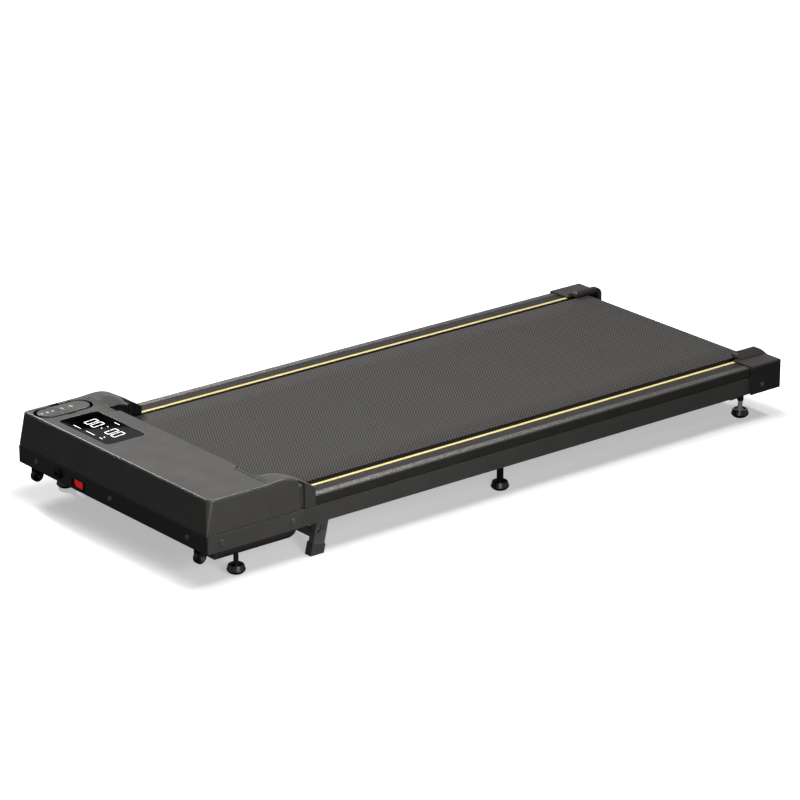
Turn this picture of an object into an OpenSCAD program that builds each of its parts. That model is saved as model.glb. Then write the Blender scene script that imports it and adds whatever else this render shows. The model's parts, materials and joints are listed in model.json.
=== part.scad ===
// Under-desk walking pad: a low powered treadmill with a flat moulded motor cover at the front,
// a running belt between two ribbed foot rails, and a fold-down stand that raises the front.
// Millimetres. X runs across the pad, Y along it with the motor at -Y, Z up.
// The origin is on the floor, at the centre of the whole pad's footprint.

/* [Overall] */
// Length from the front skirt to the rear caps
pad_len = 1200; // [1160:5:1240]
// Width over the steel side frames
frame_w = 507.6; // [500:0.4:520]
// Height of the frame's underside above the floor
ride_h = 54; // [52:0.5:58]
// Height of the side frames
frame_h = 29; // [28:0.5:32]
// Thickness of the folded steel
sheet_t = 2; // [1.6:0.1:2.4]

/* [Side frames] */
// Width of the bottom flange of a side frame
bottom_flange = 42; // [40:0.5:44]
// Width of the top flange behind the motor bay
top_flange = 46; // [45.5:0.1:46.5]
// Width of the top flange beside the motor bay
bay_flange = 9; // [6:1:9]

/* [Belt and rollers] */
// Diameter of both rollers
roller_d = 42; // [40:0.5:43]
// Wall of the roller tubes
roller_wall = 2; // [1.5:0.1:3]
// Gap between the walking belt and each foot rail
belt_gap = 9; // [8:0.5:14]
// Thickness of the walking belt
belt_t = 1.6; // [1.2:0.1:2]
// Height of the belt above the side frames
belt_rise = 18.5; // [17.5:0.5:19.5]
// Front roller axis behind the skirt
front_axle_s = 118; // [116:0.5:120]
// Rear roller axis before the rear caps' ends
rear_axle_inset = 36; // [35:0.5:38]
// Diameter of the roller axles
axle_d = 15; // [12:0.5:17]
// Outer diameter of the roller bearings
bearing_d = 35; // [30:0.5:36]
// Width of the roller bearings
bearing_w = 11; // [9:0.5:13]

/* [Deck] */
// How far the running deck stands out beyond each edge of the belt
deck_margin = 6; // [3:0.5:7]
// Thickness of the running deck
deck_t = 15; // [13:0.5:16]
// Height of a crossmember tube
cross_h = 20; // [16:0.5:20]
// Width of a crossmember tube
cross_w = 30; // [24:1:34]
// Wall of a crossmember tube
cross_wall = 1.6; // [1.2:0.1:2.5]
// Crossmembers under the deck
cross_count = 5; // [4:1:6]
// Radius of a deck cushion
cushion_r = 13; // [10:0.5:14]

/* [Foot rails] */
// Width of a foot rail
rail_w = 44.8; // [44:0.1:45.2]
// Height of a foot rail
rail_h = 17; // [16:0.5:18]
// Wall of a foot rail
rail_wall = 2.2; // [1.8:0.1:2.6]
// Grip grooves along each foot rail
groove_count = 6; // [3:1:7]
// Width of the gold trim strip
strip_w = 5.6; // [4:0.2:6.4]
// Width of the raised grip band at the outer edge
grip_w = 12.5; // [8:0.5:15]

/* [Motor cover] */
// Length of the cover's flat top, from the skirt
cover_flat_len = 131.5; // [130:0.5:134]
// Distance behind the skirt at which the ears start to rise
ear_start_s = 119.5; // [118:0.5:122]
// Length of the cover down to the ends of its ears
cover_len = 179; // [176:1:182]
// Height of the flat top above the side frames
cover_h = 56; // [54:0.5:60]
// Rise of the ears above the flat top
ear_rise = 1.5; // [0.5:0.1:2.5]
// Distance of the ears' crest behind the skirt
ear_crest_s = 148; // [146:1:150]
// Radius of the ears' fall behind their crest
ear_fall_r = 60; // [58:1:70]
// Slope at which the ears' fall ends
ear_slope = 30; // [28:0.5:31]
// Width of an ear at the flat top
ear_w_top = 57.8; // [55.8:0.5:61.8]
// Width of an ear at the foot rails
ear_w_rail = 46.8; // [45.8:0.5:48.8]
// Setback of the front face at the top
front_draft = 9.4; // [6:0.2:11]
// Setback of the side faces at the top
side_draft = 4.4; // [3:0.2:5]
// Corner radius of the cover at the top
cover_corner_r = 12; // [8:0.5:14]
// Wall of the moulded cover
cover_wall = 2.6; // [2.2:0.1:2.8]
// Vent holes in one row
vent_count = 15; // [8:1:15]
// Rows of vent holes
vent_rows = 2; // [1:1:2]
// Diameter of a vent hole
vent_d = 2.4; // [1.6:0.1:3]

/* [Rail ends] */
// Length of the moulding that ends each foot rail
rail_end_len = 21; // [18:1:24]
// Shadow gap between the cover's ears and the rail ends
rail_end_gap = 9; // [7:0.5:10]

/* [Display] */
// Width of the display window
window_w = 137; // [120:1:140]
// Depth of the display window
window_l = 75; // [70:1:76]
// Thickness of the display window
window_t = 2.4; // [2:0.1:3]
// Corner radius of the display window
window_r = 9; // [4:1:12]
// Distance of the window's centre from the left side frame's face
window_inset = 142.8; // [140.8:1:145.8]
// Distance of the window's centre behind the skirt
window_s = 64.5; // [63:0.5:66]

/* [Remote control] */
// Length of the remote control
remote_l = 95; // [90:0.5:96]
// Width of the remote control
remote_w = 37.4; // [34:0.2:38]
// Thickness of the remote control
remote_t = 10.5; // [9:0.5:12]
// Gap around the remote control in its recess
remote_gap = 3; // [2:0.1:3.2]
// Distance of the remote's centre from the left side frame's face
remote_inset = 33.3; // [32.8:0.5:34.3]
// Distance of the remote's centre behind the skirt
remote_s = 65.5; // [64.5:0.5:66.5]
// Travel of the remote's buttons
button_travel = 0.8; // [0.5:0.1:1]

/* [Drive] */
// Diameter of the motor can
motor_d = 66; // [60:1:68]
// Length of the motor can
motor_l = 122; // [100:1:124]
// Motor axis behind the skirt
motor_s = 54; // [53.5:0.5:55]
// Diameter of the motor shaft
shaft_d = 10; // [8:0.5:12]
// Diameter of the flywheel
flywheel_d = 64; // [56:1:66]
// Outer radius of the roller's pulley
roller_pulley_r = 28; // [26:0.5:28.5]
// Outer radius of the motor's pulley
motor_pulley_r = 11.2; // [10:0.1:12]
// Width of the ribbed drive belt
drive_belt_w = 12; // [10:0.5:13]
// Thickness of the ribbed drive belt
drive_belt_t = 3.4; // [3:0.1:4]

/* [Belly pan] */
// Depth of the belly pan below the frame
pan_depth = 22.5; // [18:0.5:24]
// Inset of the belly pan from the side frames' faces
pan_inset = 15; // [14:0.5:16]
// Distance of the belly pan behind the skirt
pan_front_s = 23.5; // [23:0.5:26]
// Length of the belly pan
pan_len = 166.5; // [150:0.5:168]
// Wall of the belly pan
pan_wall = 2; // [1.6:0.1:2.2]

/* [Front fittings] */
// How far the cord gland stands out of the skirt
gland_out = 5; // [4:0.5:7]
// Bore of the cord gland
gland_bore_d = 8; // [7:0.5:9]
// Width of the rocker switch key
rocker_w = 29; // [24:0.5:30]
// Height of the rocker switch key
rocker_h = 11; // [9:0.5:12]

/* [Feet, wheels and stand] */
// Distance of the front feet from the side frames' faces
front_foot_inset = 23.8; // [22.8:0.5:25.8]
// Distance of the other feet from the side frames' faces
foot_inset = 35.8; // [31.8:0.5:36.8]
// Diameter of a foot stud
stud_d = 8; // [6:0.5:10]
// Largest diameter of a foot cup
cup_d = 30; // [26:0.5:32]
// Height of a foot cup
cup_h = 15; // [14:0.5:20]
// Diameter of the sleeves round the middle and rear studs
sleeve_d = 11; // [10:0.5:12]
// Diameter of a transport wheel
wheel_d = 21; // [18:0.5:21.5]
// Width of a transport wheel
wheel_w = 10; // [8:0.5:12]
// Distance of a transport wheel from the side frame's face
wheel_inset = 33.8; // [31.8:0.5:35.8]
// Height of the stand's pivot above the floor
pivot_h = 44.5; // [43:0.5:45]
// Distance of the stand's pivot behind the skirt
pivot_s = 223; // [220:0.5:224]
// Width of a stand leg along the pad
leg_l = 22.4; // [21:0.2:25]
// Width of a stand leg across the pad
leg_w = 13; // [12:0.5:18.5]
// Forward lean of the stand's legs
leg_lean = 13; // [11:0.5:14]

/* [End caps] */
// Length of a rear end cap
cap_len = 68.5; // [66:0.5:72]
// How far an end cap stands out beyond the side frame
cap_out = 4.2; // [3.6:0.1:5]
// Wall of an end cap
cap_wall = 3; // [2.4:0.1:3.2]
// Height of the hook over the belt's edge above the foot rail
hook_rise = 12; // [10:0.5:13]
// Radius of the hook's rounded back
hook_r = 14; // [10:1:18]

/* [Hidden] */
$fn = 48;

// Clearances
fit = 0.3;
run_fit = 0.05;
seam = 0.4;

// Heights
frame_z0 = ride_h;
frame_z1 = ride_h + frame_h;
belt_top_z = frame_z1 + belt_rise;
roller_r = roller_d / 2;
belt_in_r = roller_r + fit;
belt_out_r = belt_in_r + belt_t;
axle_z = belt_top_z - belt_out_r;
deck_z1 = axle_z + roller_r;
deck_z0 = deck_z1 - deck_t;
rail_z1 = frame_z1 + rail_h;
cover_z0 = frame_z1 + seam;
cover_z1 = frame_z1 + cover_h;

// Places across the pad
half_w = frame_w / 2;
web_x = half_w - sheet_t;
rail_x0 = half_w - rail_w;
belt_w = 2 * (rail_x0 - belt_gap);
deck_w = belt_w + 2 * deck_margin;
ear_gap_in = half_w - ear_w_top;
ear_gap_out = half_w - ear_w_rail;
window_x = half_w - window_inset;
remote_x = half_w - remote_inset;
wheel_x = half_w - wheel_inset;
cap_x1 = half_w + cap_out;
flange_x = half_w - top_flange;

// Places along the pad
front_y = -(pad_len + gland_out) / 2 + gland_out;
rear_y = front_y + pad_len;
function at(s) = front_y + s;
rear_axle_s = pad_len - rear_axle_inset;
rail_end_s = cover_len + rail_end_gap;
rail_s0 = rail_end_s + rail_end_len;
rail_s1 = pad_len - cap_len;

// Helpers
module span(a, b) {
    translate(a)
        cube(b - a);
}
module rod_x(r, x0, x1) {
    translate([x0, 0, 0])
        rotate([0, 90, 0])
            cylinder(r = r, h = x1 - x0);
}
module rod_y(r, y0, y1) {
    translate([0, y1, 0])
        rotate([90, 0, 0])
            cylinder(r = r, h = y1 - y0);
}
// Draws a (y, z) profile and extrudes it along X
module along_x(x0, x1) {
    translate([x0, 0, 0])
        rotate([90, 0, 90])
            linear_extrude(x1 - x0)
                children();
}
// Draws an (x, z) profile and extrudes it along Y
module along_y(y0, y1) {
    translate([0, y1, 0])
        rotate([90, 0, 0])
            linear_extrude(y1 - y0)
                children();
}
module mirrored(side) {
    if (side < 0)
        mirror([1, 0, 0])
            children();
    else
        children();
}
module both_sides() {
    for (side = [-1, 1])
        mirrored(side)
            children();
}
module rect(a, b) {
    translate(a)
        square(b - a);
}
module round_rect(w, l, r) {
    square([w - 2 * r, l], center = true);
    square([w, l - 2 * r], center = true);
    for (x = [-1, 1], y = [-1, 1])
        translate([x * (w / 2 - r), y * (l / 2 - r)])
            circle(r);
}
module stadium(w, l) {
    square([w, l - w], center = true);
    for (y = [-1, 1])
        translate([0, y * (l - w) / 2])
            circle(d = w);
}
module ring_x(r0, r1, x0, x1) {
    difference() {
        rod_x(r1, x0, x1);
        rod_x(r0, x0 - 1, x1 + 1);
    }
}
// Points of an arc about c, from angle a0 to a1
function arc(c, r, a0, a1, steps) =
    [for (i = [0:steps]) let (a = a0 + (a1 - a0) * i / steps) c + r * [cos(a), sin(a)]];

// Feet: front, middle and rear
front_foot_x = half_w - front_foot_inset;
foot_x = half_w - foot_inset;
foot_pad_s = [72, 0.51 * pad_len, pad_len - 55];
foot_pad_x = [front_foot_x, foot_x, foot_x];
foot_hole_d = stud_d + 0.4;
foot_nut_h = 6.5;
stud_top = 74;

// Wheels
wheel_s = wheel_d / 2 + 0.5;
wheel_z = frame_z0 - 15.5;
fork_t = 1.5;
fork_gap = 0.8;
wheel_pin_d = 5;

// Stand
leg_x1 = web_x - 1.2;
leg_x0 = leg_x1 - leg_w;
pivot_d = 8;
stand_plate_t = 3;
stand_plate_x1 = leg_x0 - 1.6;
stand_plate_x0 = stand_plate_x1 - stand_plate_t;
leg_top = 17;
tube_t = 1.6;
swing_r = sqrt(leg_top * leg_top + leg_l * leg_l / 4) + 1;

// Screws on the outer faces
screw_head_r = 4.2;
screw_head_h = 1.8;
screw_r = 2;
skirt_screw_x = half_w - 49.8;
skirt_screw_z = frame_z0 + 15;
side_screw_s = [28, 164];
cap_screw_s = pad_len - 44;
cap_screw_z = frame_z0 + 13.5;

// Motor bay: pulley and lug places
lug_x = half_w - 17.8;
lug_t = 4;
pulley_x0 = half_w - 45.5;
pulley_w = 16;
bay_s1 = rail_end_s;
pulley_reach = roller_pulley_r + drive_belt_t + 2;

// Rear axle mounting
tension_x = half_w - 24;
tension_d = 8;
tension_plate_s0 = pad_len - 13;
tension_plate_t = 3.5;

// Side frame: a folded channel with the lugs and tabs welded to it, drawn for the right side
module channel_profile() {
    rect([web_x, frame_z0], [half_w, frame_z1]);
    rect([half_w - top_flange, frame_z1 - sheet_t], [half_w, frame_z1]);
    rect([half_w - bottom_flange, frame_z0], [half_w, frame_z0 + sheet_t]);
}
module lug_profile() {
    rect([at(front_axle_s) - 14, frame_z0 + sheet_t / 2], [at(front_axle_s) + 14, axle_z]);
    translate([at(front_axle_s), axle_z])
        circle(14);
}
module side_frame() {
    frame_y0 = at(sheet_t + fit);
    frame_y1 = rear_y - cap_wall - fit;
    difference() {
        union() {
            difference() {
                along_y(frame_y0, frame_y1)
                    channel_profile();
                // The top flange is narrow beside the motor bay
                span([half_w - top_flange - 1, frame_y0 - 1, frame_z1 - sheet_t - 1],
                     [half_w - bay_flange, at(bay_s1), frame_z1 + 1]);
            }
            along_x(lug_x, lug_x + lug_t)
                lug_profile();
            // Tab that the tension bolt pulls against
            span([tension_x - 12, at(tension_plate_s0), frame_z0 + sheet_t / 2],
                 [web_x + sheet_t / 2, at(tension_plate_s0 + tension_plate_t), frame_z1 - sheet_t / 2]);
        }
        // Room for the transport wheel's fork
        span([half_w - bottom_flange - 1, frame_y0 - 1, frame_z0 - 1],
             [wheel_x + wheel_w / 2 + 5, at(wheel_s + 14), frame_z0 + sheet_t + 1]);
        // Room for the drive pulley, and for the belt's lower run beside the front foot
        span([half_w - bottom_flange - 1, at(front_axle_s - pulley_reach), frame_z0 - 1],
             [lug_x - 3, at(front_axle_s + pulley_reach), frame_z0 + sheet_t + 1]);
        span([half_w - bottom_flange - 1, at(motor_s + 8), frame_z0 - 1],
             [pulley_x0 + pulley_w - 1, at(front_axle_s), frame_z0 + sheet_t + 1]);
        // Room for the stand's leg to swing
        span([stand_plate_x0 - 0.1, at(pivot_s - swing_r - 3), frame_z0 - 1],
             [web_x, at(pivot_s + swing_r + 3), frame_z0 + sheet_t + 1]);
        // Room for the rear roller's end above the channel
        span([half_w - top_flange - 1, at(rear_axle_s - 22), frame_z1 - sheet_t - 1],
             [web_x - 3, frame_y1 + 1, frame_z1 + 1]);
        translate([0, at(front_axle_s), axle_z])
            rod_x(axle_d / 2 + run_fit, lug_x - 1, lug_x + lug_t + 1);
        translate([tension_x, 0, axle_z])
            rod_y(tension_d / 2 + 0.2, at(tension_plate_s0) - 1, at(tension_plate_s0 + tension_plate_t) + 1);
        for (i = [0:2])
            translate([foot_pad_x[i], at(foot_pad_s[i]), frame_z0 - 1])
                cylinder(d = foot_hole_d, h = sheet_t + 2);
        for (s = side_screw_s)
            translate([0, at(s), skirt_screw_z])
                rod_x(screw_r + 0.2, web_x - 1, half_w + 1);
        translate([0, at(cap_screw_s), cap_screw_z])
            rod_x(screw_r + 0.2, web_x - 1, half_w + 1);
    }
}
module left_side_frame() {
    color("#333230")
        mirrored(-1)
            side_frame();
}
module right_side_frame() {
    color("#333230")
        side_frame();
}

// Front skirt: a folded panel across the front with its holes
switch_x = 166.3 - half_w;
switch_z = frame_z0 + 12.5;
gland_x = 111.8 - half_w;
gland_z = frame_z0 + 14;
gland_body_r = 7;
bezel_w = rocker_w + 5;
bezel_h = rocker_h + 5;
bezel_out = 1.6;
switch_w = rocker_w + 2.4;
switch_h = rocker_h + 2.4;
module front_skirt() {
    flange = 14;
    color("#2a2928")
        difference() {
            along_x(-half_w, half_w) {
                rect([at(0), frame_z0], [at(sheet_t), frame_z1]);
                rect([at(0), frame_z0], [at(flange), frame_z0 + sheet_t]);
                rect([at(0), frame_z1 - sheet_t], [at(flange), frame_z1]);
            }
            // The flanges stop short of the side frames
            both_sides()
                span([half_w - bottom_flange - fit, at(sheet_t), frame_z0 - 1],
                     [half_w + 1, at(flange) + 1, frame_z1 + 1]);
            for (x = [-skirt_screw_x, 0, skirt_screw_x])
                translate([x, 0, skirt_screw_z])
                    rod_y(screw_r + 0.2, at(-1), at(sheet_t + 1));
            translate([gland_x, 0, gland_z])
                rod_y(gland_body_r + 0.1, at(-1), at(sheet_t + 1));
            span([switch_x - switch_w / 2 - 0.1, at(-1), switch_z - switch_h / 2 - 0.1],
                 [switch_x + switch_w / 2 + 0.1, at(sheet_t + 1), switch_z + switch_h / 2 + 0.1]);
        }
}

// Crossmembers: square tubes between the side frames, inside the belt's loop
cross_z0 = axle_z - belt_in_r + 3;
cross_z1 = cross_z0 + cross_h;
cross_first_s = pivot_s + swing_r + 5 + cross_w / 2;
cross_last_s = rear_axle_s - belt_in_r - 32;
function cross_s(i) = cross_first_s + (cross_last_s - cross_first_s) * i / (cross_count - 1);
deck_screw_x = deck_w / 2 - 22;
deck_screw_r = 3;
module crossmembers() {
    color("#2f2e2d")
        for (i = [0:cross_count - 1])
            difference() {
                along_x(-web_x, web_x)
                    difference() {
                        rect([at(cross_s(i)) - cross_w / 2, cross_z0], [at(cross_s(i)) + cross_w / 2, cross_z1]);
                        rect([at(cross_s(i)) - cross_w / 2 + cross_wall, cross_z0 + cross_wall],
                             [at(cross_s(i)) + cross_w / 2 - cross_wall, cross_z1 - cross_wall]);
                    }
                for (x = [-deck_screw_x, deck_screw_x])
                    translate([x, at(cross_s(i)), cross_z1 - cross_wall - 1])
                        cylinder(r = deck_screw_r + 0.1, h = cross_wall + 2);
            }
}

// Running deck: a board with eased front and rear edges, fixed by countersunk screws
deck_s0 = front_axle_s + belt_out_r + 2.5;
deck_s1 = rear_axle_s - belt_out_r - 2.5;
deck_ease = 4;
module running_deck() {
    color("#1d1c1b")
        difference() {
            along_x(-deck_w / 2, deck_w / 2)
                polygon([
                    [at(deck_s0), deck_z0], [at(deck_s1), deck_z0],
                    [at(deck_s1), deck_z1 - deck_ease], [at(deck_s1 - deck_ease * 2), deck_z1],
                    [at(deck_s0 + deck_ease * 2), deck_z1], [at(deck_s0), deck_z1 - deck_ease]
                ]);
            for (i = [0:cross_count - 1], x = [-deck_screw_x, deck_screw_x])
                translate([x, at(cross_s(i)), 0]) {
                    translate([0, 0, deck_z0 - 1])
                        cylinder(r = deck_screw_r + 0.1, h = deck_t + 2);
                    translate([0, 0, deck_z1 - deck_screw_r - 0.3])
                        cylinder(r1 = deck_screw_r + 0.1, r2 = 2 * deck_screw_r + 0.4, h = deck_screw_r + 0.31);
                }
        }
}
module deck_screws() {
    color("silver")
        for (i = [0:cross_count - 1], x = [-deck_screw_x, deck_screw_x])
            translate([x, at(cross_s(i)), 0]) {
                translate([0, 0, cross_z1 - cross_wall - 6])
                    cylinder(r = deck_screw_r, h = deck_z1 - deck_screw_r - cross_z1 + cross_wall + 6);
                translate([0, 0, deck_z1 - deck_screw_r - 0.4])
                    cylinder(r1 = deck_screw_r, r2 = 2 * deck_screw_r, h = deck_screw_r);
            }
}
// Deck cushions: rubber pucks, some of them pierced by the deck screws
module deck_cushions() {
    color("#20201f")
        for (i = [0:cross_count - 1], x = [-deck_screw_x, 0, deck_screw_x])
            translate([x, at(cross_s(i)), cross_z1])
                difference() {
                    cylinder(r = cushion_r, h = deck_z0 - cross_z1);
                    if (x != 0)
                        translate([0, 0, -1])
                            cylinder(r = deck_screw_r + 0.1, h = deck_z0 - cross_z1 + 2);
                }
}

// Foot rail: an extrusion with grip grooves, a seat for the gold strip and a raised grip band
strip_x0 = rail_x0 + 3;
strip_t = 1.4;
groove_w = 1.2;
groove_d = 0.8;
grip_rise = 0.4;
rail_edge_r = 1.6;
module rail_profile() {
    grip_x1 = half_w - rail_edge_r - 0.4;
    difference() {
        union() {
            rect([rail_x0, frame_z1], [rail_x0 + rail_wall, rail_z1]);
            rect([rail_x0, rail_z1 - rail_wall], [half_w - rail_edge_r, rail_z1]);
            rect([half_w - rail_wall, frame_z1 + 1.6], [half_w, rail_z1 - rail_edge_r]);
            translate([half_w - rail_edge_r, rail_z1 - rail_edge_r])
                circle(rail_edge_r);
            rect([half_w - rail_wall - 1.4, frame_z1], [half_w - 1.4, rail_z1 - 1]);
            rect([grip_x1 - grip_w, rail_z1 - 0.5], [grip_x1, rail_z1 + grip_rise]);
            rect([rail_x0 + rail_w / 2 - 1, frame_z1], [rail_x0 + rail_w / 2 + 1, rail_z1 - 1]);
        }
        rect([strip_x0, rail_z1 - strip_t + grip_rise], [strip_x0 + strip_w, rail_z1 + 1]);
        for (i = [0:groove_count - 1])
            let (pitch = (grip_x1 - grip_w - strip_x0 - strip_w) / (groove_count + 0.5),
                 x = strip_x0 + strip_w + pitch * (i + 0.75))
                rect([x - groove_w / 2, rail_z1 - groove_d], [x + groove_w / 2, rail_z1 + 1]);
    }
}
module foot_rail() {
    along_y(at(rail_s0), at(rail_s1) - seam)
        rail_profile();
}
module left_foot_rail() {
    color("#454443")
        mirrored(-1)
            foot_rail();
}
module right_foot_rail() {
    color("#454443")
        foot_rail();
}
module gold_strip() {
    span([strip_x0, at(rail_s0), rail_z1 - strip_t + grip_rise],
         [strip_x0 + strip_w, at(rail_s1) - seam, rail_z1 + grip_rise]);
}
module left_gold_strip() {
    color("#e8cf7a")
        mirrored(-1)
            gold_strip();
}
module right_gold_strip() {
    color("#e8cf7a")
        gold_strip();
}

// The height of the ears behind their crest: an arc, then a straight fall
ear_top_z = cover_z1 + ear_rise;
ear_knee_s = ear_crest_s + ear_fall_r * sin(ear_slope);
ear_knee_z = ear_top_z - ear_fall_r * (1 - cos(ear_slope));
function ear_z(s) =
    s < ear_knee_s
        ? ear_top_z - ear_fall_r + sqrt(pow(ear_fall_r, 2) - pow(s - ear_crest_s, 2))
        : ear_knee_z - (s - ear_knee_s) * tan(ear_slope);

// Rail end: the moulding that carries the ears' fall down to the foot rail
module rail_end() {
    s0 = rail_end_s;
    s1 = rail_s0;
    neck = 5;
    difference() {
        union() {
            along_x(ear_gap_out, half_w)
                polygon([
                    [at(s0), cover_z0], [at(s1), cover_z0], [at(s1), ear_z(s1) - 1.5],
                    [at(s1 - 1.5), ear_z(s1 - 1.5)], [at(s0), ear_z(s0)]
                ]);
            // Neck in the shadow gap
            along_x(ear_gap_out + neck, half_w - neck)
                polygon([
                    [at(cover_len + fit), cover_z0], [at(s0 + 1), cover_z0],
                    [at(s0 + 1), ear_z(s0) - neck], [at(cover_len + fit), ear_z(s0) - neck]
                ]);
            // Tongues that plug into the foot rail's two hollows
            for (x = [[rail_x0 + rail_wall, rail_x0 + rail_w / 2 - 1],
                      [rail_x0 + rail_w / 2 + 1, half_w - rail_wall - 1.4]])
                span([x[0] + fit, at(s1) - 1, frame_z1 + 1], [x[1] - fit, at(s1 + 8), rail_z1 - rail_wall - fit]);
        }
        // Hollow of the moulding, open below
        along_x(ear_gap_out + 2.4, half_w - 2.4)
            polygon([
                [at(s0 + 2.4), cover_z0 - 1], [at(s1 - 2.4), cover_z0 - 1],
                [at(s1 - 2.4), rail_z1 - rail_wall - 2], [at(s0 + 2.4), rail_z1 - rail_wall - 2]
            ]);
    }
}
module left_rail_end() {
    color("#3a3938")
        mirrored(-1)
            rail_end();
}
module right_rail_end() {
    color("#3a3938")
        rail_end();
}

// Motor cover. Its drafted block is lofted between corner discs, so the corners sharpen downwards.
module cover_block(inset) {
    z1 = cover_z1 + 6 - inset;
    x_at = function (z) half_w - 0.8 - inset - side_draft * (z - cover_z0) / cover_h;
    y_at = function (z) at(0.4 + inset + front_draft * (z - cover_z0) / cover_h);
    hull()
        for (side = [-1, 1], level = [0, 1]) {
            z = level == 0 ? cover_z0 - (inset > 0 ? 1 : 0) : z1;
            r = level == 0 ? 1 : cover_corner_r;
            translate([side * (x_at(z) - r), y_at(z) + r, z])
                cylinder(r = r, h = 0.01, $fn = 32);
            span([side * x_at(z) - (side > 0 ? 1 : 0), at(cover_len - inset) - 1, z],
                 [side * x_at(z) + (side > 0 ? 0 : 1), at(cover_len - inset), z + 0.01]);
        }
}
// Side outline of the cover: flat top, the ears' rise and fall
module cover_outline(inset) {
    rise_r = pow(ear_crest_s - ear_start_s, 2) / (2 * ear_rise) + ear_rise / 2;
    half = asin((ear_crest_s - ear_start_s) / rise_r);
    zt = -inset;
    polygon(concat(
        [[at(-20), cover_z0 - 5], [at(-20), cover_z1 + zt]],
        arc([at(ear_crest_s), ear_top_z - rise_r + zt], rise_r, 90 + half, 90, 4),
        arc([at(ear_crest_s), ear_top_z - ear_fall_r + zt], ear_fall_r, 86, 90 - ear_slope, 7),
        [[at(cover_len + 20), ear_z(cover_len + 20) + zt], [at(cover_len + 20), cover_z0 - 5]]
    ));
}
// Opening between the ears, as seen from above
module ear_opening(inset) {
    r = 12;
    polygon(concat(
        [[ear_gap_out + inset, at(cover_len + 30)]],
        arc([ear_gap_in + inset - r, at(cover_flat_len) - inset + r], r, 0, -90, 6),
        arc([-ear_gap_in - inset + r, at(cover_flat_len) - inset + r], r, -90, -180, 6),
        [[-ear_gap_out - inset, at(cover_len + 30)]]
    ));
}
cover_gap_z = belt_top_z + 2.5;
pocket_floor_z = cover_z1 + 0.6 - remote_t;
pocket_w = remote_w + 2 * remote_gap;
pocket_l = remote_l + 2 * remote_gap;
window_z0 = cover_z1 - 0.3 - window_t;
ear_step_x = half_w - 89.8;
tub_wall = 2.2;
notch_in = 3.2;
boss_r = 5;
cover_boss_s = [34, 100];
cover_boss_x = 18;
module cover_vents() {
    pitch_x = 5.4;
    pitch_s = 5.6;
    for (row = [0:vent_rows - 1], i = [0:vent_count - 1])
        translate([half_w - 14 - pitch_x * (i + (row % 2) / 2), at(ear_start_s + 1.5 + pitch_s * row), cover_z1 - 12])
            cylinder(d = vent_d, h = 20, $fn = 16);
}
module cover_shell(inset) {
    difference() {
        intersection() {
            cover_block(inset);
            along_x(-half_w - 5, half_w + 5)
                cover_outline(inset);
        }
        translate([0, 0, cover_gap_z - (inset > 0 ? 40 : 0)])
            linear_extrude(90)
                ear_opening(inset);
        // The ears' inner walls and the rear wall stop above the belt
        span([-ear_gap_out - inset, at(cover_flat_len - cover_wall - 12 + inset), cover_z0 - 9],
             [ear_gap_out + inset, at(cover_len + 30), cover_gap_z]);
    }
}
module motor_cover() {
    color("#6f6e6c")
        difference() {
            union() {
                difference() {
                    cover_shell(0);
                    cover_shell(cover_wall);
                }
                // Tub under the remote's recess and ledge under the window
                translate([-remote_x, at(remote_s), pocket_floor_z - cover_wall])
                    linear_extrude(cover_z1 - 1 - pocket_floor_z + cover_wall) {
                        stadium(pocket_w + 2 * tub_wall, pocket_l + 2 * tub_wall);
                        square([pocket_w + 2 * (notch_in + tub_wall), 22], center = true);
                    }
                translate([-window_x, at(window_s), window_z0 - 2])
                    linear_extrude(cover_z1 - window_z0)
                        round_rect(window_w + 4, window_l + 4, window_r + 2);
                // Screw bosses and stiffening ribs
                for (s = cover_boss_s)
                    translate([cover_boss_x, at(s), cover_z1 - 14])
                        cylinder(r = boss_r, h = 13);
                for (x = [-30, 60, 150])
                    span([x - 1, at(20), cover_z1 - 9], [x + 1, at(cover_flat_len - 2), cover_z1 - 1]);
            }
            translate([-remote_x, at(remote_s), pocket_floor_z])
                linear_extrude(20)
                    stadium(pocket_w, pocket_l);
            // Finger notches at the middle of the recess
            for (side = [-1, 1])
                translate([-remote_x + side * pocket_w / 2, at(remote_s), pocket_floor_z + 3])
                    linear_extrude(20)
                        intersection() {
                            circle(8.5);
                            square([notch_in * 2, 20], center = true);
                        }
            translate([-window_x, at(window_s), window_z0])
                linear_extrude(10)
                    round_rect(window_w + 2 * fit, window_l + 2 * fit, window_r + fit);
            translate([-window_x, at(window_s), window_z0 - 10])
                linear_extrude(12)
                    round_rect(window_w - 8, window_l - 8, window_r - 4);
            both_sides()
                cover_vents();
            // The ears' inner walls clear the front roller's pulley and axle
            both_sides()
                span([ear_gap_out - 4, at(cover_flat_len - 18), cover_z0 - 2],
                     [ear_gap_out + 4, at(front_axle_s + pulley_reach), axle_z + pulley_reach]);
            for (s = cover_boss_s)
                translate([cover_boss_x, at(s), cover_z1 - 15])
                    cylinder(d = 3, h = 10);
            // The middle of the top stays flat to its rear edge; the ears start beyond a slanting step
            translate([0, 0, cover_z1])
                linear_extrude(10)
                    polygon([
                        [-ear_step_x, at(ear_start_s) - 1], [ear_step_x, at(ear_start_s) - 1],
                        [ear_step_x - 8, at(cover_flat_len) + 1], [8 - ear_step_x, at(cover_flat_len) + 1]
                    ]);
        }
}

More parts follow.
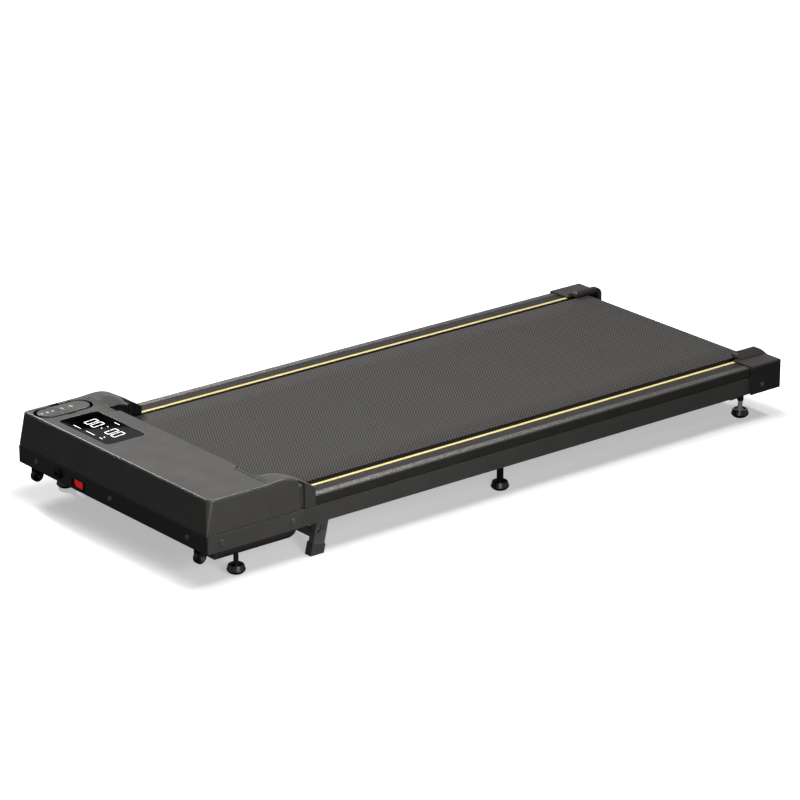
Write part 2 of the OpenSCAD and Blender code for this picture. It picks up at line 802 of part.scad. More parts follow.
// Belly pan: a shallow tray under the motor bay, its profile sloping up at the rear
module pan_solid(inset) {
    r = 12 - inset;
    x1 = half_w - pan_inset - inset;
    y0 = at(pan_front_s) + inset;
    y1 = at(pan_front_s + pan_len) - inset;
    z0 = frame_z0 - pan_depth + inset;
    z1 = frame_z0 + (inset > 0 ? 1 : -0.2);
    slope = 20;
    intersection() {
        along_x(-x1, x1) {
            difference() {
                rect([y0, z0], [y1, z1]);
                rect([y0 - 1, z0 - 1], [y0 + r, z0 + r]);
                polygon([[y1 + 1, z0 - 1], [y1 - slope, z0 - 1], [y1 - slope, z0], [y1 - 4, z1 - 6], [y1 + 1, z1 - 6]]);
            }
            translate([y0 + r, z0 + r])
                circle(r);
        }
        along_y(y0 - 1, y1 + 1) {
            rect([-x1, z0 + r], [x1, z1]);
            rect([-x1 + r, z0], [x1 - r, z1]);
            for (side = [-1, 1])
                translate([side * (x1 - r), z0 + r])
                    circle(r);
        }
        translate([0, (y0 + y1) / 2, z0 - 1])
            linear_extrude(z1 - z0 + 2)
                round_rect(2 * x1, y1 - y0, 14 - inset);
    }
}
// Posts that carry the control board
board_x0 = 41.8 - half_w;
board_x1 = 201.8 - half_w;
board_s0 = 34;
board_s1 = 86;
board_z = frame_z0 - 8;
module board_posts(r) {
    for (x = [board_x0 + 6, board_x1 - 6], s = [board_s0 + 6, board_s1 - 6])
        translate([x, at(s), frame_z0 - pan_depth + pan_wall - 0.5])
            cylinder(r = r, h = board_z - frame_z0 + pan_depth - pan_wall + 0.5);
}
module belly_pan() {
    color("#262524") {
        difference() {
            pan_solid(0);
            pan_solid(pan_wall);
            // The front feet's studs pass through the pan's corners
            both_sides()
                translate([front_foot_x, at(foot_pad_s[0]), frame_z0 - pan_depth - 1])
                    cylinder(d = stud_d + 4, h = pan_depth + 2);
            // Drain and cooling slots below the motor
            for (i = [0:7])
                span([60 + i * 12, at(62), frame_z0 - pan_depth - 1], [64 + i * 12, at(92), frame_z0 - pan_depth + pan_wall + 1]);
        }
        board_posts(3.5);
    }
}

// Display: a gloss window in the cover's top and the board behind it
module display_window() {
    color("#050505")
        translate([-window_x, at(window_s), window_z0])
            linear_extrude(window_t)
                round_rect(window_w, window_l, window_r);
}
module display_board() {
    board_t = 1.6;
    module_h = 4;
    color("#1f5b3a") {
        translate([-window_x, at(window_s), window_z0 - module_h - board_t])
            linear_extrude(board_t)
                square([window_w - 14, window_l - 14], center = true);
        // Digit modules against the window
        for (i = [0:3])
            translate([-window_x + (i - 1.5) * 24, at(window_s + 4), window_z0 - module_h - 0.1])
                linear_extrude(module_h + 0.1)
                    square([20, 30], center = true);
        // Posts up to the window's ledge
        for (x = [-1, 1], y = [-1, 1])
            translate([-window_x + x * (window_w / 2 - 9), at(window_s) + y * (window_l / 2 - 9), window_z0 - module_h - 0.1])
                cylinder(r = 1.8, h = module_h + 0.1);
    }
}

// Motor: a can with finned end bells, on a folded bracket
motor_x1 = pulley_x0 - 41;
motor_x0 = motor_x1 - motor_l;
motor_z = axle_z;
armature_r = motor_d / 2 - 8;
module motor_housing() {
    bell = 14;
    color("#8a8c8e")
        translate([0, at(motor_s), motor_z])
            difference() {
                union() {
                    rod_x(motor_d / 2, motor_x0 + bell, motor_x1 - bell);
                    rod_x(motor_d / 2 - 1.5, motor_x0 + 3, motor_x1 - 3);
                    rod_x(motor_d / 4, motor_x0, motor_x1);
                    // Brush boxes
                    for (a = [60, 240])
                        rotate([a, 0, 0])
                            span([motor_x0 + 4, -6, motor_d / 2 - 6], [motor_x0 + 20, 6, motor_d / 2 - 0.3]);
                }
                rod_x(shaft_d / 2 + run_fit, motor_x0 - 1, motor_x1 + 1);
                rod_x(armature_r + 1.2, motor_x0 + 7, motor_x1 - 7);
                // Cooling slots in the end bells
                for (a = [0:30:330])
                    rotate([a, 0, 0])
                        span([motor_x1 - 13, -3, armature_r], [motor_x1 - 5, 3, motor_d / 2 + 2]);
            }
}
bracket_z = motor_z - motor_d / 2 - 3;
// Cradle of two ribs on a base below the motor, hung from the skirt's lower flange
module motor_bracket() {
    rib = 4;
    x0 = motor_x0 + 8;
    x1 = motor_x1 - 8;
    z0 = frame_z0 + sheet_t;
    z1 = motor_z - 12;
    pan_s = pan_front_s + pan_wall;
    color("#5b5c5e")
        difference() {
            union() {
                span([x0, at(pan_s + 9), bracket_z], [x1, at(motor_s + 24), bracket_z + 3]);
                span([x0, at(sheet_t), z0], [x1, at(sheet_t + 3), frame_z1 - sheet_t - 1]);
                for (x = [x0 + 10, x1 - 10 - rib])
                    along_x(x, x + rib)
                        polygon([
                            [at(sheet_t + 1), z1], [at(sheet_t + 1), z0], [at(14.6), z0],
                            [at(14.6), z0 - 1.5], [at(pan_s + 1), z0 - 1.5],
                            [at(pan_s + 9), bracket_z + 1], [at(motor_s + 24), bracket_z + 1],
                            [at(motor_s + 31), z0], [at(motor_s + 31), z1]
                        ]);
            }
            translate([0, at(motor_s), motor_z])
                rod_x(motor_d / 2, motor_x0 - 1, motor_x1 + 1);
        }
}

// Drive: rotor with flywheel and ribbed pulley, and the belt to the front roller
module ribbed_pulley(r, w, bore) {
    ribs = 5;
    pitch = (w - 4) / ribs;
    rotate([0, 90, 0])
        rotate_extrude($fn = 72)
            polygon(concat(
                [[bore, 0], [r + 1.2, 0], [r + 1.2, 1.6], [r, 2]],
                [for (i = [0:ribs - 1]) each [[r - 1.6, 2 + pitch * (i + 0.5)], [r, 2 + pitch * (i + 1)]]],
                [[r + 1.2, w - 1.6], [r + 1.2, w], [bore, w]]
            ));
}
module motor_rotor() {
    fly_x0 = motor_x1 + 5;
    fly_w = 16;
    color("#b5b7b9")
        translate([0, at(motor_s), motor_z]) {
            rod_x(shaft_d / 2, motor_x0 + 2, pulley_x0 + pulley_w + 2);
            // Armature and commutator
            rod_x(armature_r, motor_x0 + 30, motor_x1 - 22);
            rod_x(armature_r / 2, motor_x0 + 12, motor_x0 + 31);
            rod_x(armature_r * 0.8, motor_x0 + 25, motor_x1 - 17);
            difference() {
                rod_x(flywheel_d / 2, fly_x0, fly_x0 + fly_w);
                // Dished face with twelve fan blades left standing
                difference() {
                    ring_x(12, flywheel_d / 2 - 5, fly_x0 + 7, fly_x0 + fly_w + 1);
                    for (a = [0:30:330])
                        rotate([a, 0, 0])
                            span([fly_x0 + 6, -1.2, 8], [fly_x0 + fly_w, 1.2, flywheel_d / 2 - 2]);
                }
            }
            translate([pulley_x0, 0, 0])
                ribbed_pulley(motor_pulley_r, pulley_w, shaft_d / 2 - 0.5);
        }
}
// A belt's outline round two pulleys c apart, seen from its side
module loop_outline(ra, rb, c) {
    a = acos((ra - rb) / c);
    polygon(concat(arc([0, 0], ra, a, 360 - a, 28), arc([c, 0], rb, -a, a, 36)));
}
module drive_belt() {
    x0 = pulley_x0 + (pulley_w - drive_belt_w) / 2;
    c = front_axle_s - motor_s;
    ra = motor_pulley_r + fit;
    rb = roller_pulley_r + fit;
    color("#161616")
        translate([0, at(motor_s), axle_z])
            along_x(x0, x0 + drive_belt_w)
                difference() {
                    loop_outline(ra + drive_belt_t, rb + drive_belt_t, c);
                    loop_outline(ra, rb, c);
                }
}

// Rollers: tube, end plugs with bearing seats, and the front one's pulley
roller_half = belt_w / 2 + 3.5;
module roller() {
    plug = bearing_w + 5;
    color("#b9bbbd") {
        ring_x(roller_r - roller_wall, roller_r, -roller_half, roller_half);
        both_sides()
            difference() {
                rod_x(roller_r - roller_wall + 0.1, roller_half - plug - 1, roller_half - 1);
                rod_x(bearing_d / 2 + 0.02, roller_half - bearing_w - 1, roller_half);
                rod_x(axle_d / 2 + 1.5, roller_half - plug - 2, roller_half);
            }
    }
}
module front_roller() {
    translate([0, at(front_axle_s), axle_z]) {
        roller();
        color("#3c3d3e")
            difference() {
                union() {
                    translate([pulley_x0, 0, 0])
                        ribbed_pulley(roller_pulley_r, pulley_w, axle_d / 2 + 1.5);
                    rod_x(roller_r - roller_wall - 0.5, roller_half - 1.2, pulley_x0 + 1);
                }
                rod_x(axle_d / 2 + 1.5, roller_half - 2, pulley_x0 + pulley_w + 1);
            }
    }
}
module rear_roller() {
    translate([0, at(rear_axle_s), axle_z])
        roller();
}
module bearings(s) {
    color("#c9cbcd")
        translate([0, at(s), axle_z])
            both_sides()
                ring_x(axle_d / 2 + run_fit, bearing_d / 2, roller_half - bearing_w - 0.9, roller_half - 1.3);
}
module front_bearings() {
    bearings(front_axle_s);
}
module rear_bearings() {
    bearings(rear_axle_s);
}
module front_axle() {
    color("#9a9c9e")
        translate([0, at(front_axle_s), axle_z])
            rod_x(axle_d / 2, -lug_x - lug_t - 3, lug_x + lug_t + 3);
}
module rear_axle() {
    end_x = tension_x + 9;
    color("#9a9c9e")
        translate([0, at(rear_axle_s), axle_z])
            difference() {
                rod_x(axle_d / 2, -end_x, end_x);
                both_sides()
                    translate([tension_x, 0, 0])
                        rod_y(tension_d / 2 + run_fit, -axle_d, axle_d);
            }
}
module tension_bolts() {
    head_h = 5;
    color("silver")
        both_sides()
            translate([tension_x, 0, axle_z]) {
                rod_y(tension_d / 2, at(rear_axle_s - 16), at(tension_plate_s0 + tension_plate_t + 1));
                translate([0, at(tension_plate_s0 + tension_plate_t + head_h), 0])
                    rotate([90, 0, 0])
                        cylinder(r = 7, h = head_h, $fn = 6);
            }
}

// Walking belt: one loop round both rollers
module belt_loop(r, half) {
    c = rear_axle_s - front_axle_s;
    rod_x(r, -half, half);
    translate([0, c, 0])
        rod_x(r, -half, half);
    span([-half, 0, -r], [half, c, r]);
}
module walking_belt() {
    color("#4a4948")
        translate([0, at(front_axle_s), axle_z])
            difference() {
                belt_loop(belt_out_r, belt_w / 2);
                belt_loop(belt_in_r, belt_w / 2 + 1);
            }
}

// Rear end cap: a moulded shell over the frame's end, with a ribbed hook over the belt's edge
hook_x0 = belt_w / 2 - 2.5;
hook_x1 = belt_w / 2 + 23;
cap_top_z = rail_z1 + 3;
hook_top_z = rail_z1 + hook_rise;
module hook_outline() {
    y0 = at(rail_s1) + 9;
    z0 = belt_top_z + 2;
    z1 = hook_top_z;
    polygon(concat(
        [[y0, z0]],
        arc([y0 + 7, z1 - 7], 7, 180, 90, 3),
        arc([rear_y - hook_r, z1 - hook_r], hook_r, 90, 0, 8),
        [[rear_y, frame_z0], [rear_y - 8, frame_z0], [rear_y - 8, z0]]
    ));
}
// Casing over the frame's end, its three outer edges rounded
module cap_casing() {
    y0 = at(rail_s1);
    x0 = rail_x0 - 1;
    z0 = frame_z0 - 1;
    r = 3.5;
    intersection() {
        along_x(x0, cap_x1) {
            rect([y0, z0], [rear_y, cap_top_z - r]);
            rect([y0, z0], [rear_y - r, cap_top_z]);
            translate([rear_y - r, cap_top_z - r])
                circle(r);
        }
        along_y(y0, rear_y) {
            rect([x0, z0], [cap_x1, cap_top_z - r]);
            rect([x0, z0], [cap_x1 - r, cap_top_z]);
            translate([cap_x1 - r, cap_top_z - r])
                circle(r);
        }
        translate([0, 0, z0])
            linear_extrude(cap_top_z - z0) {
                rect([x0, y0], [cap_x1, rear_y - r]);
                rect([x0, y0], [cap_x1 - r, rear_y]);
                translate([cap_x1 - r, rear_y - r])
                    circle(r);
            }
    }
}
module end_cap() {
    y0 = at(rail_s1);
    clear_r = belt_out_r + 2;
    inner_x = rail_x0 + cap_wall - 1;
    difference() {
        union() {
            difference() {
                union() {
                    cap_casing();
                    // Hook over the belt's edge, sloping down to the casing's top
                    intersection() {
                        along_x(hook_x0, hook_x1)
                            hook_outline();
                        along_y(y0, rear_y)
                            polygon(concat(
                                [[hook_x0, frame_z0 - 2]],
                                arc([hook_x0 + 4, hook_top_z - 4], 4, 180, 90, 3),
                                arc([hook_x1 - 18, hook_top_z - 8], 8, 90, 45, 3),
                                [[hook_x1, cap_top_z - 1], [hook_x1, frame_z0 - 2]]
                            ));
                    }
                }
                // Inside of the casing, open to the belt, to the front and below
                span([inner_x, y0 - 1, frame_z0 - 2], [cap_x1 - cap_wall, rear_y - cap_wall, cap_top_z - cap_wall]);
                span([hook_x0 - 1, y0 - 1, frame_z0 - 2], [inner_x + 1, rear_y - cap_wall, axle_z - 10]);
            }
            // Spacer round the screw, against the side frame
            translate([0, at(cap_screw_s), cap_screw_z])
                rod_x(5, half_w, cap_x1 - cap_wall + 0.5);
        }
        // Round the roller's end and the belt
        translate([0, at(rear_axle_s), axle_z])
            rod_x(clear_r, hook_x0 - 1, inner_x + 1);
        span([hook_x0 - 1, y0 - 1, frame_z0 - 2], [inner_x + 1, at(rear_axle_s), axle_z + clear_r]);
        // Ribs along the hook
        for (i = [0:2])
            span([hook_x0 + 5 + i * 4, y0 + 14, hook_top_z - 0.7], [hook_x0 + 6.4 + i * 4, rear_y - hook_r, hook_top_z + 1]);
        // Screw in the outer face and the way to the tension bolt
        translate([0, at(cap_screw_s), cap_screw_z]) {
            rod_x(screw_r + 0.2, half_w - 1, cap_x1 + 1);
            rod_x(screw_head_r + 0.3, cap_x1 - 1.2, cap_x1 + 1);
        }
        translate([tension_x, 0, axle_z])
            rod_y(7.5, rear_y - cap_wall - 1, rear_y + 1);
    }
}
module left_end_cap() {
    color("#2a2928")
        mirrored(-1)
            end_cap();
}
module right_end_cap() {
    color("#2a2928")
        end_cap();
}

// Transport wheels in forks under the front corners
module wheel_forks() {
    inner = wheel_w / 2 + fork_gap;
    color("#222120")
        both_sides()
            translate([wheel_x, at(wheel_s), 0])
                difference() {
                    union() {
                        for (side = [-1, 1])
                            translate([side * (inner + fork_t / 2), 0, 0])
                                along_x(-fork_t / 2, fork_t / 2) {
                                    rect([-6, wheel_z], [6, frame_z0 + sheet_t + 1.5]);
                                    translate([0, wheel_z])
                                        circle(6);
                                }
                        span([-inner - fork_t, sheet_t - wheel_s, frame_z0 + sheet_t],
                             [inner + fork_t + 8, 6, frame_z0 + sheet_t + fork_t]);
                    }
                    translate([0, 0, wheel_z])
                        rod_x(wheel_pin_d / 2 + 0.02, -inner - fork_t - 1, inner + fork_t + 1);
                }
}
module wheel_axles() {
    reach = wheel_w / 2 + fork_gap + fork_t;
    color("silver")
        both_sides()
            translate([wheel_x, at(wheel_s), wheel_z]) {
                rod_x(wheel_pin_d / 2, -reach - 1, reach + 1);
                for (x = [-reach - 1.8, reach])
                    rod_x(wheel_pin_d / 2 + 1.2, x, x + 1.8);
            }
}
module transport_wheel() {
    translate([wheel_x - wheel_w / 2, at(wheel_s), wheel_z])
        rotate([0, 90, 0])
            rotate_extrude()
                polygon([
                    [wheel_pin_d / 2 + 0.1, 0], [wheel_d / 2 - 3.5, 0], [wheel_d / 2 - 3, 0.8],
                    [wheel_d / 2 - 1.6, 0], [wheel_d / 2, 1.6], [wheel_d / 2, wheel_w - 1.6],
                    [wheel_d / 2 - 1.6, wheel_w], [wheel_d / 2 - 3, wheel_w - 0.8],
                    [wheel_d / 2 - 3.5, wheel_w], [wheel_pin_d / 2 + 0.1, wheel_w]
                ]);
}
module left_wheel() {
    color("#1b1b1b")
        mirrored(-1)
            transport_wheel();
}
module right_wheel() {
    color("#1b1b1b")
        transport_wheel();
}

// Levelling feet: a stud moulded into a flared rubber cup
module foot(i) {
    r = cup_d / 2;
    color("#1e1e1e")
        translate([foot_pad_x[i], at(foot_pad_s[i]), 0]) {
            rotate_extrude()
                polygon([
                    [0, 0], [r - 6.5, 0], [r - 3.5, 1.6], [r - 0.6, 4.6], [r, 6.4], [r - 2.4, cup_h - 0.8],
                    [r - 3.2, cup_h], [r - 4.8, cup_h], [r - 7, cup_h - 4.5], [0, cup_h - 4.5]
                ]);
            cylinder(d = stud_d, h = stud_top);
            translate([0, 0, cup_h - 5])
                cylinder(r = 6.5, h = 4, $fn = 6);
        }
}
module front_left_foot() {
    mirrored(-1)
        foot(0);
}
module front_right_foot() {
    foot(0);
}
module middle_left_foot() {
    mirrored(-1)
        foot(1);
}
module middle_right_foot() {
    foot(1);
}
module rear_left_foot() {
    mirrored(-1)
        foot(2);
}
module rear_right_foot() {
    foot(2);
}
// Nuts welded over the feet's holes, inside the channels
module foot_nuts() {
    color("#a9abad")
        both_sides()
            for (i = [0:2])
                translate([foot_pad_x[i], at(foot_pad_s[i]), frame_z0 + sheet_t])
                    difference() {
                        rotate([0, 0, 30])
                            cylinder(r = 7.5, h = foot_nut_h, $fn = 6);
                        translate([0, 0, -1])
                            cylinder(d = stud_d + 2 * run_fit, h = foot_nut_h + 2);
                    }
}
// Sleeves that guide the middle and rear studs below the channels; a rib braces each rear one
module foot_sleeves() {
    sleeve_z = [0, cup_h + 2, cup_h + 15];
    rib_t = 4;
    color("#1a1a1a")
        both_sides()
            for (i = [1, 2])
                translate([foot_pad_x[i], at(foot_pad_s[i]), 0])
                    difference() {
                        union() {
                            translate([0, 0, sleeve_z[i]])
                                cylinder(d = sleeve_d, h = frame_z0 - sleeve_z[i]);
                            if (i == 2)
                                along_x(-rib_t / 2, rib_t / 2)
                                    polygon([[-32, frame_z0], [-25, sleeve_z[i] + 5], [0, sleeve_z[i] + 5], [0, frame_z0]]);
                        }
                        translate([0, 0, sleeve_z[i] - 1])
                            cylinder(d = stud_d + 1, h = frame_z0);
                    }
}

// Stand: a welded frame of two legs and a crossbar, pivoting on a bolt in each side frame
module stand_frame() {
    bar_l = 21;
    bar_z0 = -20;
    bar_z1 = -11;
    leg_end = pivot_h / cos(leg_lean);
    color("#31302f")
        intersection() {
            translate([0, at(pivot_s), pivot_h])
                rotate([-leg_lean, 0, 0])
                    difference() {
                        union() {
                            both_sides()
                                difference() {
                                    span([leg_x0, -leg_l / 2, -leg_end + 1], [leg_x1, leg_l / 2, leg_top]);
                                    span([leg_x0 + tube_t, -leg_l / 2 + tube_t, -leg_end - 5],
                                         [leg_x1 - tube_t, leg_l / 2 - tube_t, leg_top - tube_t]);
                                }
                            difference() {
                                span([-leg_x0 - 0.5, -leg_l / 2, bar_z0], [leg_x0 + 0.5, -leg_l / 2 + bar_l, bar_z1]);
                                span([-leg_x0 - 1, -leg_l / 2 + tube_t, bar_z0 + tube_t],
                                     [leg_x0 + 1, -leg_l / 2 + bar_l - tube_t, bar_z1 - tube_t]);
                            }
                        }
                        both_sides() {
                            rod_x(pivot_d / 2 + run_fit, leg_x0 - 1, leg_x1 + 1);
                            // Spare hole of the locking screw
                            translate([0, -5.5, -8.5])
                                rod_x(2.2, leg_x1 - 2, leg_x1 + 1);
                        }
                    }
            span([-half_w, at(pivot_s - 80), 2], [half_w, at(pivot_s + 80), frame_z1]);
        }
}
module stand_caps() {
    cap_h = 18.5;
    cap_t = 1.5;
    leg_end = pivot_h / cos(leg_lean);
    color("#262626")
        intersection() {
            translate([0, at(pivot_s), pivot_h])
                rotate([-leg_lean, 0, 0])
                    both_sides()
                        difference() {
                            span([leg_x0 - cap_t, -leg_l / 2 - cap_t, -leg_end - 10],
                                 [leg_x1 + cap_t - 0.4, leg_l / 2 + cap_t, -leg_end + cap_h]);
                            intersection() {
                                span([leg_x0, -leg_l / 2, -leg_end - 11], [leg_x1, leg_l / 2, -leg_end + cap_h + 1]);
                                rotate([leg_lean, 0, 0])
                                    translate([0, 0, -pivot_h])
                                        span([0, -90, 2], [half_w, 90, 60]);
                            }
                        }
            span([-half_w, at(pivot_s - 80), 0], [half_w, at(pivot_s + 80), ride_h]);
        }
}
// Plates inboard of the legs that hold the pivot bolts, under the bottom flanges
module stand_brackets() {
    lug_r = 9.5;
    plate_half = swing_r + 2.8;
    color("#2d2c2b")
        both_sides() {
            difference() {
                along_x(stand_plate_x0, stand_plate_x1) {
                    rect([at(pivot_s) - plate_half, frame_z0 - 1], [at(pivot_s) + plate_half, frame_z0 + sheet_t + 2]);
                    rect([at(pivot_s) - 26, frame_z0 + sheet_t], [at(pivot_s) + 26, frame_z0 + sheet_t + 2]);
                    rect([at(pivot_s) - lug_r, pivot_h], [at(pivot_s) + lug_r, frame_z0]);
                    translate([at(pivot_s), pivot_h])
                        circle(lug_r);
                }
                translate([0, at(pivot_s), pivot_h])
                    rod_x(pivot_d / 2 + run_fit, stand_plate_x0 - 1, stand_plate_x1 + 1);
            }
            // Feet of the plate, welded to the channel's flange
            for (y = [-1, 1])
                span([half_w - bottom_flange, at(pivot_s) + y * 34 - 10, frame_z0 + sheet_t],
                     [stand_plate_x1, at(pivot_s) + y * 34 + 10, frame_z0 + sheet_t + 2]);
        }
}
module stand_bolts() {
    color("#c0c2c4")
        both_sides()
            translate([0, at(pivot_s), pivot_h]) {
                rod_x(pivot_d / 2, stand_plate_x0 - 6, leg_x1 + 1);
                rod_x(4.6, leg_x1 + 0.15, leg_x1 + 3.2);
                translate([stand_plate_x0 - 5, 0, 0])
                    rotate([0, 90, 0])
                        cylinder(r = 7, h = 5, $fn = 6);
            }
}

// Power switch: bezel and body in the skirt, and the rocking key
rocker_tilt = 9;
rocker_r = 5.5;
module switch_body() {
    color("#151515")
        translate([switch_x, 0, switch_z])
            difference() {
                union() {
                    span([-bezel_w / 2, at(-bezel_out), -bezel_h / 2], [bezel_w / 2, at(0), bezel_h / 2]);
                    span([-switch_w / 2, at(-0.5), -switch_h / 2], [switch_w / 2, at(24), switch_h / 2]);
                    for (x = [-8, 0, 8])
                        span([x - 0.4, at(23), -3.2], [x + 0.4, at(31), 3.2]);
                }
                span([-rocker_w / 2 - 0.4, at(-bezel_out - 1), -rocker_h / 2 - 0.4],
                     [rocker_w / 2 + 0.4, at(13), rocker_h / 2 + 0.4]);
                translate([0, at(6), 0])
                    cylinder(r = 1.5 + run_fit, h = rocker_h + 2.2, center = true);
            }
}
module rocker_shape() {
    // Pins on the upright axis and a shallow V across the key's face
    cylinder(r = 1.5, h = rocker_h + 2, center = true);
    linear_extrude(rocker_h, center = true)
        polygon([
            [-rocker_w / 2 + 0.6, -5.6], [0, -7.2], [rocker_w / 2 - 0.6, -5.6],
            [rocker_w / 2 - 2.4, 1.5], [4, 4], [-4, 4], [-rocker_w / 2 + 2.4, 1.5]
        ]);
}
module switch_rocker() {
    color("#c8201e")
        translate([switch_x, at(6), switch_z])
            rotate([0, 0, -rocker_tilt])
                rocker_shape();
}
module cord_gland() {
    color("#141414")
        translate([gland_x, 0, gland_z])
            difference() {
                union() {
                    rod_y(9, at(-3), at(0));
                    rod_y(7.6, at(-gland_out), at(-2));
                    rod_y(gland_body_r, at(-1), at(18));
                    translate([0, at(sheet_t + 5), 0])
                        rotate([90, 0, 0])
                            cylinder(r = 10, h = 5, $fn = 6);
                }
                rod_y(gland_bore_d / 2, at(-gland_out - 1), at(19));
            }
}

// Screws that hold the skirt, the cover's sides and the end caps
module pan_head_screw(len) {
    rod_y(screw_r, 0, len);
    difference() {
        rod_y(screw_head_r, -screw_head_h, 0);
        span([-2.6, -screw_head_h - 1, -0.6], [2.6, -screw_head_h + 0.7, 0.6]);
        span([-0.6, -screw_head_h - 1, -2.6], [0.6, -screw_head_h + 0.7, 2.6]);
    }
}
module frame_screws() {
    color("#2b2b2b") {
        for (x = [-skirt_screw_x, 0, skirt_screw_x])
            translate([x, at(0), skirt_screw_z])
                pan_head_screw(8);
        both_sides() {
            for (s = side_screw_s)
                translate([half_w, at(s), skirt_screw_z])
                    rotate([0, 0, 90])
                        pan_head_screw(8);
            translate([cap_x1 - 1.2, at(cap_screw_s), cap_screw_z])
                rotate([0, 0, 90])
                    pan_head_screw(9);
        }
    }
}

// Remote control in its recess, with five buttons
remote_z0 = pocket_floor_z + 0.1;
remote_z1 = remote_z0 + remote_t;
small_button_s = [-41.5, -31, -20.5];
large_button_s = [-3, 14.5];
small_button_r = 2.6;
large_button_w = 9;
large_button_l = 6.4;
button_gap = 0.35;
button_depth = 3.4;
module small_button_outline(grow) {
    circle(small_button_r + grow);
}
module large_button_outline(grow) {
    rotate([0, 0, 90])
        stadium(large_button_l + 2 * grow, large_button_w + 2 * grow);
}
module remote_shell() {
    ease = 1.6;
    color("#72716f")
        translate([-remote_x, at(remote_s), remote_z0])
            difference() {
                union() {
                    linear_extrude(remote_t - ease)
                        stadium(remote_w, remote_l);
                    for (y = [-1, 1])
                        translate([0, y * (remote_l - remote_w) / 2, remote_t - ease])
                            cylinder(r1 = remote_w / 2, r2 = remote_w / 2 - ease, h = ease);
                    translate([0, (remote_l - remote_w) / 2, remote_t - ease])
                        rotate([90, 0, 0])
                            linear_extrude(remote_l - remote_w)
                                polygon([[-remote_w / 2, 0], [remote_w / 2, 0], [remote_w / 2 - ease, ease], [-remote_w / 2 + ease, ease]]);
                }
                for (s = small_button_s)
                    translate([0, s, remote_t - button_depth])
                        linear_extrude(button_depth + 1)
                            small_button_outline(button_gap);
                for (s = large_button_s)
                    translate([0, s, remote_t - button_depth])
                        linear_extrude(button_depth + 1)
                            large_button_outline(button_gap);
                // Groove round the small buttons' field
                translate([0, -31, remote_t - 0.5])
                    linear_extrude(2)
                        difference() {
                            stadium(29, 40);
                            stadium(27.4, 38.4);
                        }
            }
}
module remote_button(s, proud) {
    translate([-remote_x, at(remote_s) + s, remote_z0 + remote_t - button_depth + button_travel + 0.1])
        linear_extrude(button_depth - button_travel - 0.1 + proud)
            children();
}
module remote_power_button() {
    color("#d8d8d6")
        remote_button(small_button_s[0], 0.5)
            small_button_outline(0);
}
module remote_mode_button() {
    color("#d8d8d6")
        remote_button(small_button_s[1], 0.5)
            small_button_outline(0);
}
module remote_pair_button() {
    color("#d8d8d6")
        remote_button(small_button_s[2], 0.5)
            small_button_outline(0);
}
module remote_slower_button() {
    color("#8a8987")
        remote_button(large_button_s[0], 1.2)
            large_button_outline(0);
}
module remote_faster_button() {
    color("#8a8987")
        remote_button(large_button_s[1], 1.2)
            large_button_outline(0);
}

// Control board with its heat sink and capacitors
module control_board() {
    color("#2c6a45")
        translate([0, 0, board_z]) {
            span([board_x0, at(board_s0), 0], [board_x1, at(board_s1), 1.6]);
            span([board_x0 + 10, at(board_s0 + 4), 1.5], [board_x0 + 70, at(board_s0 + 20), 5]);
            for (i = [0:9])
                span([board_x0 + 10 + i * 6.4, at(board_s0 + 4), 4], [board_x0 + 12.4 + i * 6.4, at(board_s0 + 20), 26]);
            for (i = [0:2])
                translate([board_x1 - 16 - i * 20, at(board_s1 - 16), 1.5])
                    cylinder(r = 8, h = 24);
            span([board_x0 + 84, at(board_s0 + 4), 1.5], [board_x0 + 112, at(board_s0 + 20), 19]);
        }
}

left_side_frame();
right_side_frame();
front_skirt();
crossmembers();
running_deck();
deck_cushions();
deck_screws();
left_foot_rail();
right_foot_rail();
left_gold_strip();
right_gold_strip();
left_rail_end();
right_rail_end();
motor_cover();
belly_pan();
display_window();
display_board();
motor_housing();
motor_bracket();
drive_belt();
control_board();
front_axle();
rear_axle();
walking_belt();
left_end_cap();
right_end_cap();
tension_bolts();
wheel_forks();
wheel_axles();
foot_nuts();
foot_sleeves();
stand_brackets();
stand_bolts();
switch_body();
cord_gland();
frame_screws();
front_roller();
front_bearings();
rear_roller();
rear_bearings();
motor_rotor();
left_wheel();
right_wheel();
front_left_foot();
front_right_foot();
middle_left_foot();
middle_right_foot();
rear_left_foot();
rear_right_foot();
stand_frame();
stand_caps();
switch_rocker();
remote_shell();
remote_power_button();
remote_mode_button();
remote_pair_button();
remote_slower_button();
remote_faster_button();
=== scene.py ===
import json
import math
import bmesh
import bpy
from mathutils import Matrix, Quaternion, Vector


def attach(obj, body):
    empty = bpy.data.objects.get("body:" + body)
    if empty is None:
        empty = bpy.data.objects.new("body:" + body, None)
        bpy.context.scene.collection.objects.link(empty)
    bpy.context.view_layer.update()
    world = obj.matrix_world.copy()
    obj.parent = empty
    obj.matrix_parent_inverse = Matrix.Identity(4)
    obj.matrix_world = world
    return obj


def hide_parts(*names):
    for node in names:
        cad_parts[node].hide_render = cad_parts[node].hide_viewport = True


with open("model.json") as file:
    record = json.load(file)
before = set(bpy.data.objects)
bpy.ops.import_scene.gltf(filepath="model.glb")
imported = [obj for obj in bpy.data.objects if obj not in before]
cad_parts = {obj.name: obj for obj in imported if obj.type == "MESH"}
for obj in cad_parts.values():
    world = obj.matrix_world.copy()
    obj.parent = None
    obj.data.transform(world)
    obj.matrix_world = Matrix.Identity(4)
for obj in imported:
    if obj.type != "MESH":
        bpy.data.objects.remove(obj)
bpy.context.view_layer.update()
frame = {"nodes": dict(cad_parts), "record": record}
nodes = frame["nodes"]
scene = bpy.context.scene
mm = 0.001
skirtY = -597.5   # front skirt's face; places along the pad are given from here
slotOf = {part["node"]: part["material_slot"] for part in frame["record"]["subparts"]}
bodies = frame["record"]["behaviour"]["bodies"]
bodyOf = {node: body for body, members in bodies.items() for node in members}


